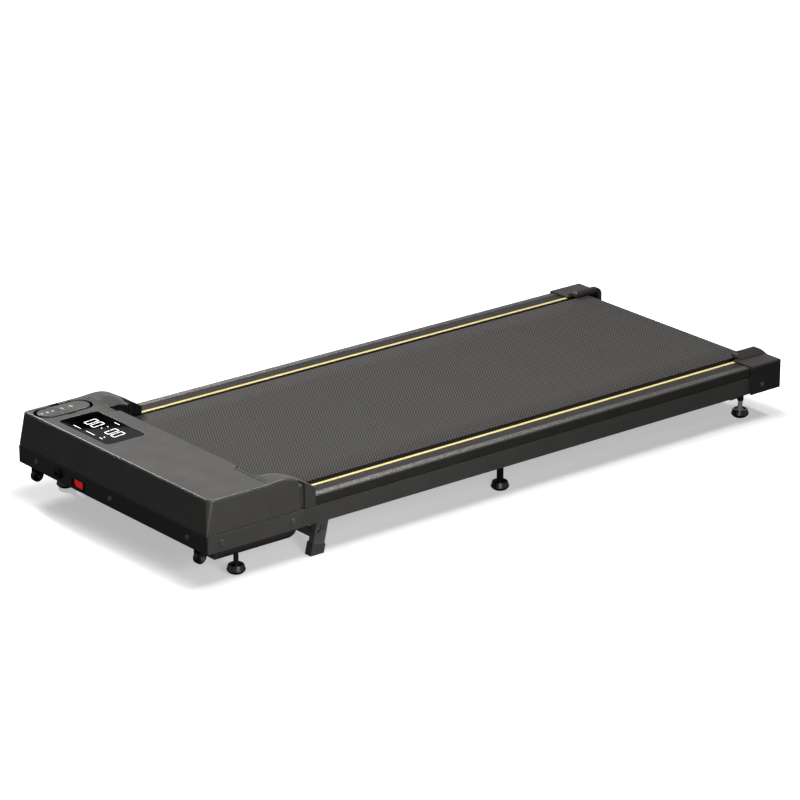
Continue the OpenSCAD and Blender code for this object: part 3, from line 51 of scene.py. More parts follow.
def at(s):
    return skirtY + s


def linear(code):
    # a hex colour as Blender's linear values
    parts = [int(code[i:i + 2], 16) / 255 for i in (1, 3, 5)]
    return (*[c / 12.92 if c <= 0.04045 else ((c + 0.055) / 1.055) ** 2.4 for c in parts], 1.0)


def scaled(colour, factor):
    return (*[min(1.0, c * factor) for c in colour[:3]], 1.0)


def addNode(tree, kind, inputs=None, **settings):
    made = tree.nodes.new("ShaderNode" + kind)
    for key, value in settings.items():
        setattr(made, key, value)
    for key, value in (inputs or {}).items():
        if isinstance(value, bpy.types.NodeSocket):
            tree.links.new(value, made.inputs[key])
        else:
            made.inputs[key].default_value = value
    return made


# camera: the photograph's viewpoint
view = {"place": (4.7208, -3.8395, 2.3437), "target": (1.35845, -1.11676, 0.7441),
        "lens": 177.53, "roll": 0.06, "sensor": 36, "reach": 60}


def setCamera():
    camera = bpy.data.objects.new("camera", bpy.data.cameras.new("camera"))
    scene.collection.objects.link(camera)
    camera.data.lens = view["lens"]
    camera.data.sensor_width = view["sensor"]
    camera.data.clip_end = view["reach"]
    camera.location = view["place"]
    aim = Vector(view["target"]) - Vector(view["place"])
    camera.rotation_mode = "QUATERNION"
    roll = Quaternion((0, 0, 1), math.radians(view["roll"]))
    camera.rotation_quaternion = aim.to_track_quat("-Z", "Y") @ roll
    scene.camera = camera
    scene.view_settings.view_transform = "Standard"


# lamps in watts, sizes and places in metres
lamps = {
    "overhead": {"place": (0.25, -0.2, 1.6), "size": (1.0, 1.0), "power": 19,
                 "target": (0.1, -0.1, 0.1)},
    "back strip": {"place": (0.75, 1.0, 2.1), "size": (0.6, 0.14), "power": 22,
                   "target": (0.2, -0.4, 0.1)},
    "left strip": {"place": (-2.4, -0.1, 1.7), "size": (0.14, 1.0), "power": 62,
                   "target": (0, -0.4, 0.1)},
    "side card": {"place": (1.15, -0.62, 0.42), "size": (0.4, 0.4), "power": 5.8,
                  "target": (0.25, -0.45, 0.1)},
}
# fill lights the pad; the other levels are what only the camera or a reflection sees.
# horizon: where the sky's level changes; footprint: half the pad's width and length in metres
# glowNear, glowFar and fadeWidth: the floor's glow, lower close to the footprint as a painted shadow
surround = {"fill": 0.03, "seen": 1.0, "skyGloss": 0.34, "horizonGloss": 0.75,
            "horizon": (0.14, 0.28), "floorGloss": 0.03, "floorSeen": 0.6, "floorBounce": 0.035,
            "floorHalf": 9, "footprint": (0.25, 0.6), "glowNear": 0.44, "glowFar": 1.0,
            "fadeWidth": 0.09}


def seenRay(tree, gloss):
    # 1 for rays that look at the backdrop, from the camera or through glass; dimmer in a reflection
    path = addNode(tree, "LightPath").outputs
    seen = addNode(tree, "Math", {0: path["Is Glossy Ray"], 1: gloss}, operation="MULTIPLY")
    for ray in ("Is Camera Ray", "Is Transmission Ray"):
        seen = addNode(tree, "Math", {0: path[ray], 1: seen.outputs[0]}, operation="MAXIMUM")
    return seen.outputs[0]


def setStudio():
    for name, value in lamps.items():
        lamp = bpy.data.objects.new(name, bpy.data.lights.new(name, "AREA"))
        scene.collection.objects.link(lamp)
        lamp.data.shape = "RECTANGLE"
        lamp.data.size, lamp.data.size_y = value["size"]
        lamp.data.energy = value["power"]
        lamp.location = value["place"]
        toward = Vector(value["target"]) - Vector(value["place"])
        lamp.rotation_mode = "QUATERNION"
        lamp.rotation_quaternion = toward.to_track_quat("-Z", "Y")
    world = bpy.data.worlds.new("studio")
    scene.world = world
    world.use_nodes = True
    tree = world.node_tree
    tree.nodes.clear()
    fill = addNode(tree, "Background", {"Color": (1, 1, 1, 1), "Strength": surround["fill"]})
    white = addNode(tree, "Background", {"Color": (1, 1, 1, 1), "Strength": surround["seen"]})
    # reflections see a bright backdrop low down and a dimmer one above it
    toSky = addNode(tree, "TexCoord").outputs["Generated"]
    height = addNode(tree, "SeparateXYZ", {0: toSky}).outputs[2]
    low, high = surround["horizon"]
    gloss = addNode(tree, "MapRange", {"Value": height, "From Min": low, "From Max": high,
                                       "To Min": surround["horizonGloss"],
                                       "To Max": surround["skyGloss"]},
                    interpolation_type="SMOOTHSTEP").outputs[0]
    both = addNode(tree, "MixShader", {0: seenRay(tree, gloss), 1: fill.outputs[0],
                                       2: white.outputs[0]})
    addNode(tree, "OutputWorld", {"Surface": both.outputs[0]})
    mesh = bpy.data.meshes.new("floor")
    half = surround["floorHalf"]
    corners = [(-half, -half, 0), (half, -half, 0), (half, half, 0), (-half, half, 0)]
    mesh.from_pydata(corners, [], [(0, 1, 2, 3)])
    floor = bpy.data.objects.new("floor", mesh)
    scene.collection.objects.link(floor)
    material = bpy.data.materials.new("pale floor")
    material.use_nodes = True
    mesh.materials.append(material)
    tree = material.node_tree
    tree.nodes.clear()
    # white paper that keeps the lamps' soft shadow and gives the pad little light back; its glow is
    # lower close to the pad, a painted shadow
    width, length = surround["footprint"]
    spot = addNode(tree, "TexCoord").outputs["Object"]
    place = addNode(tree, "VectorMath", {0: spot}, operation="ABSOLUTE").outputs[0]
    beyond = addNode(tree, "VectorMath", {0: place, 1: (width, length, 0)},
                     operation="SUBTRACT").outputs[0]
    beyond = addNode(tree, "VectorMath", {0: beyond, 1: (0, 0, 0)}, operation="MAXIMUM").outputs[0]
    reach = addNode(tree, "VectorMath", {0: beyond}, operation="LENGTH").outputs["Value"]
    # the floor's glow drops towards glowNear close to the pad's footprint: a painted shadow
    glowWithPaintedShadow = addNode(tree, "MapRange", {"Value": reach, "From Max": surround["fadeWidth"],
                                       "To Min": surround["glowNear"],
                                       "To Max": surround["glowFar"]},
                    interpolation_type="SMOOTHSTEP")
    pale = addNode(tree, "BsdfDiffuse", {"Color": (surround["floorSeen"],) * 3 + (1,)})
    glow = addNode(tree, "Emission", {"Color": (1, 1, 1, 1), "Strength": glowWithPaintedShadow.outputs[0]})
    lit = addNode(tree, "AddShader", {0: pale.outputs[0], 1: glow.outputs[0]})
    dim = addNode(tree, "BsdfDiffuse", {"Color": (surround["floorBounce"],) * 3 + (1,)})
    both = addNode(tree, "MixShader", {0: seenRay(tree, surround["floorGloss"]),
                                       1: dim.outputs[0], 2: lit.outputs[0]})
    addNode(tree, "OutputMaterial", {"Surface": both.outputs[0]})


# a black card that only a reflection shows; points are where its corners appear on the display
card = {"points": [(-186, 27.5), (-125.5, 32.5), (-86.4, 104.8), (-186, 104.8)],
        "height": 138.7, "reach": 0.6}


def setCard():
    # each corner lies where the camera sees it mirrored in the display's top
    camera = Vector(view["place"])
    corners = []
    for x, s in card["points"]:
        spot = Vector((x, at(s), card["height"])) * mm
        ray = (spot - camera).normalized()
        ray.z = -ray.z
        corners.append(spot + ray * card["reach"])
    mesh = bpy.data.meshes.new("black card")
    mesh.from_pydata(corners, [], [(0, 1, 2, 3)])
    flag = bpy.data.objects.new("black card", mesh)
    scene.collection.objects.link(flag)
    material = bpy.data.materials.new("card black")
    material.use_nodes = True
    material.node_tree.nodes.clear()
    dark = addNode(material.node_tree, "Emission", {"Color": (0, 0, 0, 1), "Strength": 0.0})
    addNode(material.node_tree, "OutputMaterial", {"Surface": dark.outputs[0]})
    mesh.materials.append(material)
    flag.visible_camera = flag.visible_diffuse = False
    flag.visible_shadow = flag.visible_transmission = False


print("camera, floor and light")
setCamera()
setStudio()
setCard()


# where most values of one noise lie, and of two added up
noiseRange = {"one": (0.3, 0.7), "two": (0.7, 1.3)}


# Finishes. grain, depth, patch and edge are millimetres; mottle and polish are how far
# colour and roughness wander.
def startFinish(name, colour, roughness=0.5, specular=0.3, metallic=0.0, grain=0.7, depth=0.03,
                mottle=0.08, patch=35.0, polish=0.06, stretch=(1, 1, 1), edge=0.0):
    material = bpy.data.materials.new(name)
    material.use_nodes = True
    tree = material.node_tree
    shader = tree.nodes["Principled BSDF"]
    base = linear(colour)
    place = addNode(tree, "TexCoord").outputs["Object"]
    place = addNode(tree, "Mapping", {"Vector": place, "Scale": stretch}).outputs[0]
    cloud = addNode(tree, "TexNoise", {"Vector": place, "Scale": 1 / (patch * mm), "Detail": 4.0,
                                       "Roughness": 0.6})
    fine = addNode(tree, "TexNoise", {"Vector": place, "Scale": 1 / (grain * mm), "Detail": 2.0,
                                      "Roughness": 0.55})
    both = addNode(tree, "Math", {0: cloud.outputs[0], 1: fine.outputs[0]}, operation="ADD")
    low, high = noiseRange["two"]
    tone = addNode(tree, "MapRange", {"Value": both.outputs[0], "From Min": low, "From Max": high})
    paint = addNode(tree, "MixRGB", {0: tone.outputs[0], 1: scaled(base, 1 - mottle),
                                     2: scaled(base, 1 + mottle)})
    tree.links.new(paint.outputs[0], shader.inputs["Base Color"])
    low, high = noiseRange["one"]
    gloss = addNode(tree, "MapRange", {"Value": cloud.outputs[0], "From Min": low, "From Max": high,
                                       "To Min": max(0.02, roughness - polish),
                                       "To Max": min(1.0, roughness + polish)})
    tree.links.new(gloss.outputs[0], shader.inputs["Roughness"])
    if depth > 0:
        bump = addNode(tree, "Bump", {"Height": fine.outputs[0], "Strength": 0.6,
                                      "Distance": depth * mm})
        if edge > 0:
            worn = addNode(tree, "Bevel", {"Radius": edge * mm}, samples=4)
            tree.links.new(worn.outputs[0], bump.inputs["Normal"])
        tree.links.new(bump.outputs[0], shader.inputs["Normal"])
    shader.inputs["Metallic"].default_value = metallic
    shader.inputs["Specular IOR Level"].default_value = specular
    return material


# the weave's waves are turns per millimetre across and along the belt
weave = {"colour": "#333231", "light": 3.1, "dark": 0.0, "dash": (0.117, 0.198),
         "row": (0.0494, -0.0401), "rowShare": 0.6, "edge": 0.6, "depth": 0.2}


def beltFinish(name):
    # staggered dashes of the running surface, laid out in millimetres along the belt's length
    material = startFinish(name, weave["colour"], roughness=0.6, specular=0.1, grain=1.2,
                           depth=0.05, mottle=0.04)
    tree = material.node_tree
    shader = tree.nodes["Principled BSDF"]
    uv = addNode(tree, "UVMap", uv_map="run").outputs[0]
    flat = addNode(tree, "VectorMath", {0: uv, 1: (1 / mm, 1 / mm, 0.0)},
                   operation="MULTIPLY").outputs[0]

    def wave(across, along):
        turns = (across * 2 * math.pi, along * 2 * math.pi, 0.0)
        phase = addNode(tree, "VectorMath", {0: flat, 1: turns}, operation="DOT_PRODUCT")
        return addNode(tree, "Math", {0: phase.outputs["Value"]}, operation="COSINE").outputs[0]

    across, along = weave["dash"]
    both = addNode(tree, "Math", {0: wave(across, along), 1: wave(-across, along)},
                   operation="ADD").outputs[0]
    rows = addNode(tree, "Math", {0: wave(*weave["row"]), 1: weave["rowShare"],
                                  2: 1 - weave["rowShare"]}, operation="MULTIPLY_ADD").outputs[0]
    pattern = addNode(tree, "Math", {0: both, 1: rows}, operation="MULTIPLY").outputs[0]
    tone = addNode(tree, "MapRange", {"Value": pattern, "From Min": -weave["edge"],
                                      "From Max": weave["edge"]}).outputs[0]
    old = shader.inputs["Base Color"].links[0].from_socket
    dark, light = [(weave[key],) * 3 + (1,) for key in ("dark", "light")]
    spread = addNode(tree, "MixRGB", {0: tone, 1: dark, 2: light}).outputs[0]
    paint = addNode(tree, "MixRGB", {0: 1.0, 1: old, 2: spread}, blend_type="MULTIPLY").outputs[0]
    tree.links.new(paint, shader.inputs["Base Color"])
    bump = tree.nodes["Bump"]
    ribs = addNode(tree, "Bump", {"Height": pattern, "Strength": 0.5,
                                  "Distance": weave["depth"] * mm, "Normal": bump.outputs[0]})
    tree.links.new(ribs.outputs[0], shader.inputs["Normal"])
    return material


# where the grit lies, in metres: across from the middle line, top for its height, along for
# where it fades towards the rear as painted shade; lip is the inner edge beside the belt, darkened
# there as painted shade
grit = {"base": "#302f2d", "colour": "#b3aeab", "inner": (0.2388, 0.2396), "outer": (0.2512, 0.2522),
        "top": (0.0998, 0.1002), "lip": (0.2122, 0.2124), "lipShade": 0.1, "size": 520.0,
        "speck": (0.25, 0.6), "along": (-0.42, 0.3), "rearShadeShare": 0.2, "depth": 0.2}


def railFinish(name):
    # dark moulding whose raised outer band carries pale grit, faded towards the rear as painted shade
    material = startFinish(name, grit["base"], roughness=0.34, specular=0.38, grain=0.6,
                           depth=0.03, edge=0.6)
    tree = material.node_tree
    shader = tree.nodes["Principled BSDF"]
    place = addNode(tree, "TexCoord").outputs["Object"]
    parts = addNode(tree, "SeparateXYZ", {0: place}).outputs
    across = addNode(tree, "Math", {0: parts[0]}, operation="ABSOLUTE").outputs[0]

    def ramp(value, span, start=0.0, end=1.0):
        return addNode(tree, "MapRange", {"Value": value, "From Min": span[0], "From Max": span[1],
                                          "To Min": start, "To Max": end}).outputs[0]

    def times(one, two):
        return addNode(tree, "Math", {0: one, 1: two}, operation="MULTIPLY").outputs[0]

    band = times(ramp(across, grit["inner"]), ramp(across, grit["outer"], 1.0, 0.0))
    band = times(band, ramp(parts[2], grit["top"]))
    cells = addNode(tree, "TexVoronoi", {"Vector": place, "Scale": grit["size"]},
                    feature="F1").outputs["Distance"]
    both = times(band, ramp(cells, grit["speck"], 1.0, 0.0))
    # the grit fades towards the rear: painted shade where less light reaches
    both = times(both, ramp(parts[1], grit["along"], 1.0, grit["rearShadeShare"]))
    # the inner edge beside the belt goes near black: painted shade in the gap
    lip = ramp(across, grit["lip"], grit["lipShade"])
    plain = shader.inputs["Base Color"].links[0].from_socket
    old = addNode(tree, "VectorMath", {0: plain, "Scale": lip}, operation="SCALE").outputs[0]
    paint = addNode(tree, "MixRGB", {0: both, 1: old, 2: linear(grit["colour"])}).outputs[0]
    tree.links.new(paint, shader.inputs["Base Color"])
    bump = tree.nodes["Bump"]
    rough = addNode(tree, "Bump", {"Height": both, "Strength": 0.6,
                                   "Distance": grit["depth"] * mm, "Normal": bump.outputs[0]})
    tree.links.new(rough.outputs[0], shader.inputs["Normal"])
    return material


def glowing(material, strength):
    # a light of their own in the same colour and grain: real light for the lit digits, a painted glow
    # on the rocker key
    shader = material.node_tree.nodes["Principled BSDF"]
    colour = shader.inputs["Base Color"].links[0].from_socket
    material.node_tree.links.new(colour, shader.inputs["Emission Color"])
    shader.inputs["Emission Strength"].default_value = strength
    return material


print("finishes")
finishes = {
    "frame_paint": startFinish("frame paint", "#484745", 0.4, 0.45, grain=1.1, depth=0.03, edge=0.9),
    "skirt_paint": startFinish("skirt paint", "#2c2b29", 0.4, 0.45, grain=1.1, depth=0.03, edge=0.9),
    "inner_steel": startFinish("inner steel", "#2c2b2a", 0.55, 0.15, grain=2.0, depth=0.03),
    "deck_board": startFinish("deck board", "#0e0e0d", 0.5, 0.1, grain=3.0, depth=0.02,
                              stretch=(1, 0.2, 1)),
    "rubber": startFinish("rubber", "#161616", 0.35, 0.45, grain=0.8, depth=0.03),
    "zinc_steel": startFinish("zinc steel", "#d4d6d8", 0.3, 0.5, metallic=0.55, grain=1.5,
                              depth=0.02, mottle=0.15),
    "black_screw": startFinish("black screw", "#8d8c8a", 0.24, 0.5, metallic=0.8, grain=0.8,
                               depth=0.01, edge=0.5),
    "rail_plastic": railFinish("rail plastic"),
    "gold_trim": startFinish("gold trim", "#f6df90", 0.3, 0.5, metallic=0.2, grain=0.5,
                             depth=0.008, mottle=0.06),
    "cover_plastic": startFinish("cover plastic", "#454442", 0.36, 0.5, grain=0.7, depth=0.02,
                                 mottle=0.04, edge=0.5),
    "pan_plastic": startFinish("pan plastic", "#2b2a28", 0.45, 0.4, grain=0.9, depth=0.04),
    "window": startFinish("window", "#030303", 0.04, 0.22, grain=20, depth=0.0, mottle=0.2,
                          polish=0.02),
    "circuit_board": startFinish("circuit board", "#1f5b3a", 0.4, 0.5, grain=2.0, depth=0.04,
                                 mottle=0.25, patch=9),
    "motor_can": startFinish("motor can", "#7f8284", 0.36, 0.5, metallic=0.9, grain=1.5,
                             depth=0.02, mottle=0.15),
    "rotor_steel": startFinish("rotor steel", "#a4a6a8", 0.32, 0.5, metallic=1.0, grain=0.8,
                               depth=0.03, stretch=(0.1, 1, 1)),
    "drive_rubber": startFinish("drive rubber", "#171717", 0.6, 0.2, grain=1.2, depth=0.05,
                                stretch=(1, 0.3, 0.3)),
    "walking_belt": beltFinish("walking belt"),
    "cap_plastic": startFinish("cap plastic", "#343231", 0.34, 0.16, grain=0.7, depth=0.03, edge=0.9),
    "roller_steel": startFinish("roller steel", "#a8aaac", 0.3, 0.5, metallic=1.0, grain=0.6,
                                depth=0.02, stretch=(0.1, 1, 1)),
    "wheel_plastic": startFinish("wheel plastic", "#121212", 0.35, 0.3, grain=0.8, depth=0.03),
    # the rocker key glows: painted light that brightens its red on the shaded front
    "rocker_red": glowing(startFinish("rocker red painted glow", "#d01c18", 0.25, 0.4, grain=0.8, depth=0.01,
                                      mottle=0.05), 0.55),
    "black_plastic": startFinish("black plastic", "#0f0f0f", 0.3, 0.3, grain=0.8, depth=0.02),
    "remote_plastic": startFinish("remote plastic", "#504f4d", 0.32, 0.45, grain=0.5, depth=0.015,
                                  mottle=0.05),
    "button_light": startFinish("pale button", "#cfcfcd", 0.4, 0.4, grain=0.5, depth=0.01,
                                mottle=0.04),
    "button_grey": startFinish("grey button", "#9a9997", 0.35, 0.4, grain=0.5, depth=0.01,
                               mottle=0.04),
}
litDigits = glowing(startFinish("lit digits", "#f4f6f4", 0.4, 0.2, grain=0.8, depth=0.0,
                                mottle=0.04), 1.0)
# pieces whose finish differs from that of their slot
special = {
    "stand_bolts": startFinish("dull bolt", "#5d5b59", 0.35, 0.5, metallic=0.5, grain=1.0,
                               depth=0.02, mottle=0.15),
    "stand_caps": startFinish("stand rubber", "#454442", 0.5, 0.4, grain=0.9, depth=0.03, edge=0.8),
    "stand_frame": startFinish("stand paint", "#575654", 0.4, 0.45, grain=1.1, depth=0.03, edge=0.9),
    "left_rail_end": finishes["cover_plastic"],
    "right_rail_end": finishes["cover_plastic"],
    "wheel_axles": finishes["black_screw"],
}
for name, piece in nodes.items():
    for slot in piece.material_slots:
        slot.material = finishes[slotOf[name]]
for slot in nodes["wheel_axles"].material_slots:
    slot.material = special["wheel_axles"]


# Shaping helpers. Outlines are lists of (x, y) in millimetres, counter-clockwise.
def arc(cx, cy, r, start, end, steps=8):
    angles = [math.radians(start + (end - start) * i / steps) for i in range(steps + 1)]
    return [(cx + r * math.cos(a), cy + r * math.sin(a)) for a in angles]


def roundRect(cx, cy, w, l, r, steps=8):
    x, y = w / 2 - r, l / 2 - r
    return (arc(cx + x, cy + y, r, 0, 90, steps) + arc(cx - x, cy + y, r, 90, 180, steps)
            + arc(cx - x, cy - y, r, 180, 270, steps) + arc(cx + x, cy - y, r, 270, 360, steps))


def stadium(cx, cy, w, l, steps=20):
    # long side along y when l > w, along x when w > l
    if l >= w:
        y = (l - w) / 2
        return arc(cx, cy + y, w / 2, 0, 180, steps) + arc(cx, cy - y, w / 2, 180, 360, steps)
    x = (w - l) / 2
    return arc(cx + x, cy, l / 2, -90, 90, steps) + arc(cx - x, cy, l / 2, 90, 270, steps)


def meshObject(name, bm):
    bmesh.ops.recalc_face_normals(bm, faces=bm.faces)
    mesh = bpy.data.meshes.new(name)
    bm.to_mesh(mesh)
    bm.free()
    piece = bpy.data.objects.new(name, mesh)
    scene.collection.objects.link(piece)
    return piece


def loft(name, rings):
    # rings of points in millimetres, each as long as the last; the ends are capped
    bm = bmesh.new()
    made = [[bm.verts.new(Vector(p) * mm) for p in ring] for ring in rings]
    count = len(rings[0])
    for low, high in zip(made, made[1:]):
        for i in range(count):
            j = (i + 1) % count
            bm.faces.new((low[i], low[j], high[j], high[i]))
    bm.faces.new(list(reversed(made[0])))
    bm.faces.new(made[-1])
    bmesh.ops.remove_doubles(bm, verts=bm.verts, dist=1e-7)
    return meshObject(name, bm)


def prism(name, outline, z0, z1):
    return loft(name, [[(x, y, z) for x, y in outline] for z in (z0, z1)])


def prismX(name, outline, x0, x1):
    # the outline is (y, z) and runs along X
    return loft(name, [[(x, y, z) for y, z in outline] for x in (x0, x1)])


def settle(piece):
    # applies the piece's modifiers
    graph = bpy.context.evaluated_depsgraph_get()
    shape = bpy.data.meshes.new_from_object(piece.evaluated_get(graph))
    piece.modifiers.clear()
    piece.data = shape
    return piece


def combine(piece, tools, how="DIFFERENCE"):
    for tool in tools:
        step = piece.modifiers.new("shape", "BOOLEAN")
        step.object = tool
        step.operation = how
        step.solver = "EXACT"
    bpy.context.view_layer.update()
    settle(piece)
    for tool in tools:
        bpy.data.objects.remove(tool)
    return piece


def join(name, parts):
    bm = bmesh.new()
    for part in parts:
        before = len(bm.verts)
        bm.from_mesh(part.data)
        bm.verts.ensure_lookup_table()
        bmesh.ops.transform(bm, matrix=part.matrix_world, verts=bm.verts[before:])
    for part in parts:
        bpy.data.objects.remove(part)
    return meshObject(name, bm)


def fitPiece(piece, node):
    # the piece stands for the CAD node and moves with its body
    material = special.get(node, finishes[slotOf[node]])
    if piece.data.materials:
        piece.data.materials[0] = material
    else:
        piece.data.materials.append(material)
    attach(piece, bodyOf[node])
    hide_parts(node)
    return piece


def smoothShading(piece, sharp):
    # flat where faces meet at more than an angle, in degrees
    for face in piece.data.polygons:
        face.use_smooth = True
    piece.data.set_sharp_from_angle(angle=math.radians(sharp))
    weighted = piece.modifiers.new("shading", "WEIGHTED_NORMAL")
    weighted.keep_sharp = True


rounding = {"sharp": 30.0, "least": 0.12, "fullLength": 8, "merge": 2e-6, "flatTurn": 0.4}


def smoothEdges(piece, width, segments):
    # rounds the sharp edges; an edge shorter than 8 widths, such as a small hole's, gets less
    bm = bmesh.new()
    bm.from_mesh(piece.data)
    bmesh.ops.remove_doubles(bm, verts=bm.verts, dist=rounding["merge"])
    bmesh.ops.dissolve_limit(bm, angle_limit=math.radians(rounding["flatTurn"]), verts=bm.verts,
                             edges=bm.edges)
    layers, key = bm.edges.layers.float, "bevel_weight_edge"
    weight = layers.get(key) or layers.new(key)
    for edge in bm.edges:
        edge.smooth = True
        if len(edge.link_faces) != 2:
            continue
        turn = math.degrees(edge.calc_face_angle(0))
        if turn > rounding["sharp"]:
            share = edge.calc_length() / mm / (rounding["fullLength"] * width)
            edge[weight] = min(1.0, max(rounding["least"], share))
    for face in bm.faces:
        face.smooth = True
    bm.to_mesh(piece.data)
    bm.free()
    if "custom_normal" in piece.data.attributes:
        piece.data.attributes.remove(piece.data.attributes["custom_normal"])
    piece.data.set_sharp_from_angle(angle=math.radians(rounding["sharp"] + 6))
    bevel = piece.modifiers.new("edge", "BEVEL")
    bevel.width = width * mm
    bevel.segments = segments
    bevel.limit_method = "WEIGHT"
    bevel.use_clamp_overlap = True
    bevel.harden_normals = False
    weighted = piece.modifiers.new("shading", "WEIGHTED_NORMAL")
    weighted.keep_sharp = True


def fromNode(node, name, width, segments=2):
    # a finer copy of the CAD node with rounded edges
    piece = bpy.data.objects.new(name, nodes[node].data.copy())
    scene.collection.objects.link(piece)
    smoothEdges(piece, width, segments)
    return fitPiece(piece, node)


def secondFinish(piece, finishName, picked):
    # gives some of the piece's faces another finish
    piece.data.materials.append(finishes[finishName])
    for face in piece.data.polygons:
        if picked(face):
            face.material_index = 1


# motor cover, in millimetres; plain numbers added to a place further down only carry a
# cutter past what it cuts
cover = {"bottom": 84.0, "top": 139.0, "height": 56.0, "halfWidth": 253.0, "front": 0.4,
         "length": 179.0, "wall": 3.0, "levels": 8, "spare": 6, "cornerSpare": 5.6,
         "sideDraft": 4.4, "leftDraft": 0.6, "frontDraft": 9.4,
         "cornerTop": 12.0, "leftCorner": 6.0, "cornerBottom": 1.0, "sideEdge": 3.4, "frontEdge": 2.2,
         "earStart": 119.5, "earCrest": 148.0, "earRise": 1.5, "earFall": 60.0, "earSlope": 30.0,
         "earBow": (30.0, 9.0), "frontBow": (12.0, 4.5),
         "flat": 131.5, "gapIn": 196.0, "gapOut": 207.0, "gapLow": 104.0, "gapCorner": 12.0,
         "step": 164.0, "stepLean": 8, "tubWall": 2.2, "ledge": 2,
         "vents": 15, "ventRows": 2, "ventSize": 2.9, "ventPitch": 5.4, "ventRowPitch": 5.6,
         "ventEdge": 239.8, "ventStart": 1.5, "ventDepth": 12, "ventSides": 16}
remote = {"x": -220.5, "s": 65.5, "w": 37.4, "l": 95.0, "gap": 5.5, "rim": 0.6, "floor": 129.1,
          "bottom": 129.2, "top": 139.7, "foot": 0.6, "edge": 1.8, "holeDepth": 3.4,
          "rounds": {"power": -41.5, "mode": -31, "pair": -20.5}, "roundHole": 2.95, "round": 2.6,
          "ovals": {"slower": -3, "faster": 14.5}, "ovalHole": (9.7, 7.1), "oval": (9, 6.4),
          "grooveAt": -31, "grooveOut": (29.6, 40.6), "grooveIn": (27.0, 38.0), "grooveDepth": 0.9,
          "buttonFoot": 2.5, "roundRise": 0.5, "roundDome": 0.7, "ovalRise": 1.2, "ovalDome": 2.2,
          "capSide": 0.6, "capRise": 1.5}
# finger notches at both sides of the remote's recess
notch = {"reach": 3.2, "length": 17, "corner": 3, "floor": 3, "rim": 0.5}
# edge: how far in the glass is at a depth under its top; back: the hole behind it
window = {"x": -111.0, "s": 64.5, "w": 137.0, "l": 75.0, "r": 9.0, "bottom": 136.3, "top": 138.7,
          "edge": ((0.5, 0), (0.2, 0.1), (0, 0.4)), "seam": 0.3, "rim": 0.35,
          "backEdge": 4, "backCorner": 5, "backLow": 125}


def coverBlock(name, inset):
    # the drafted block with its upright corners; inset makes the hollow inside
    z0 = cover["bottom"] - (1 if inset else 0)
    z1 = cover["top"] + cover["spare"] - inset
    levels, small = cover["levels"], cover["cornerBottom"]
    rings = []
    for i in range(levels + 1):
        z = z0 + (z1 - z0) * i / levels
        up = (z - cover["bottom"]) / cover["height"]
        x = cover["halfWidth"] - inset - cover["sideDraft"] * up
        left = cover["halfWidth"] - inset - cover["leftDraft"] * up
        y = at(cover["front"] + inset + cover["frontDraft"] * up)
        r = small + (cover["cornerTop"] - small) * i / levels
        q = small + (cover["leftCorner"] - small) * i / levels
        back = at(cover["length"] - inset)
        outline = (arc(-left + q, y + q, q, 180, 270, 10) + arc(x - r, y + r, r, 270, 360, 10)
                   + [(x, back), (-left, back)])
        rings.append([(px, py, z) for px, py in outline])
    return loft(name, rings)


def coverProfile(inset):
    # seen from the side: flat top, then the ears' rise and fall
    run = cover["earCrest"] - cover["earStart"]
    big = run * run / (2 * cover["earRise"]) + cover["earRise"] / 2
    half = math.degrees(math.asin(run / big))
    crestY, crestZ = at(cover["earCrest"]), cover["top"] + cover["earRise"] - inset
    fall = math.radians(cover["earSlope"])
    kneeY = crestY + cover["earFall"] * math.sin(fall)
    kneeZ = crestZ - cover["earFall"] * (1 - math.cos(fall))
    endY = at(cover["length"] + 20)
    points = [(at(-20), cover["bottom"] - 5), (at(-20), cover["top"] - inset)]
    points += arc(crestY, crestZ - big, big, 90 + half, 90, 10)
    points += arc(crestY, crestZ - cover["earFall"], cover["earFall"], 88, 90 - cover["earSlope"], 14)
    points += [(endY, kneeZ - (endY - kneeY) * math.tan(fall)), (endY, cover["bottom"] - 5)]
    return list(reversed(points))


def earTop(s):
    # height of the ears' top at a place along the pad
    run = cover["earCrest"] - cover["earStart"]
    big = run * run / (2 * cover["earRise"]) + cover["earRise"] / 2
    crest, r = cover["top"] + cover["earRise"], cover["earFall"]
    slope = math.radians(cover["earSlope"])
    knee = cover["earCrest"] + r * math.sin(slope)
    if s < cover["earCrest"]:
        return crest - big + math.sqrt(big * big - (s - cover["earCrest"]) ** 2)
    if s < knee:
        return crest - r + math.sqrt(r * r - (s - cover["earCrest"]) ** 2)
    return crest - r * (1 - math.cos(slope)) - (s - knee) * math.tan(slope)


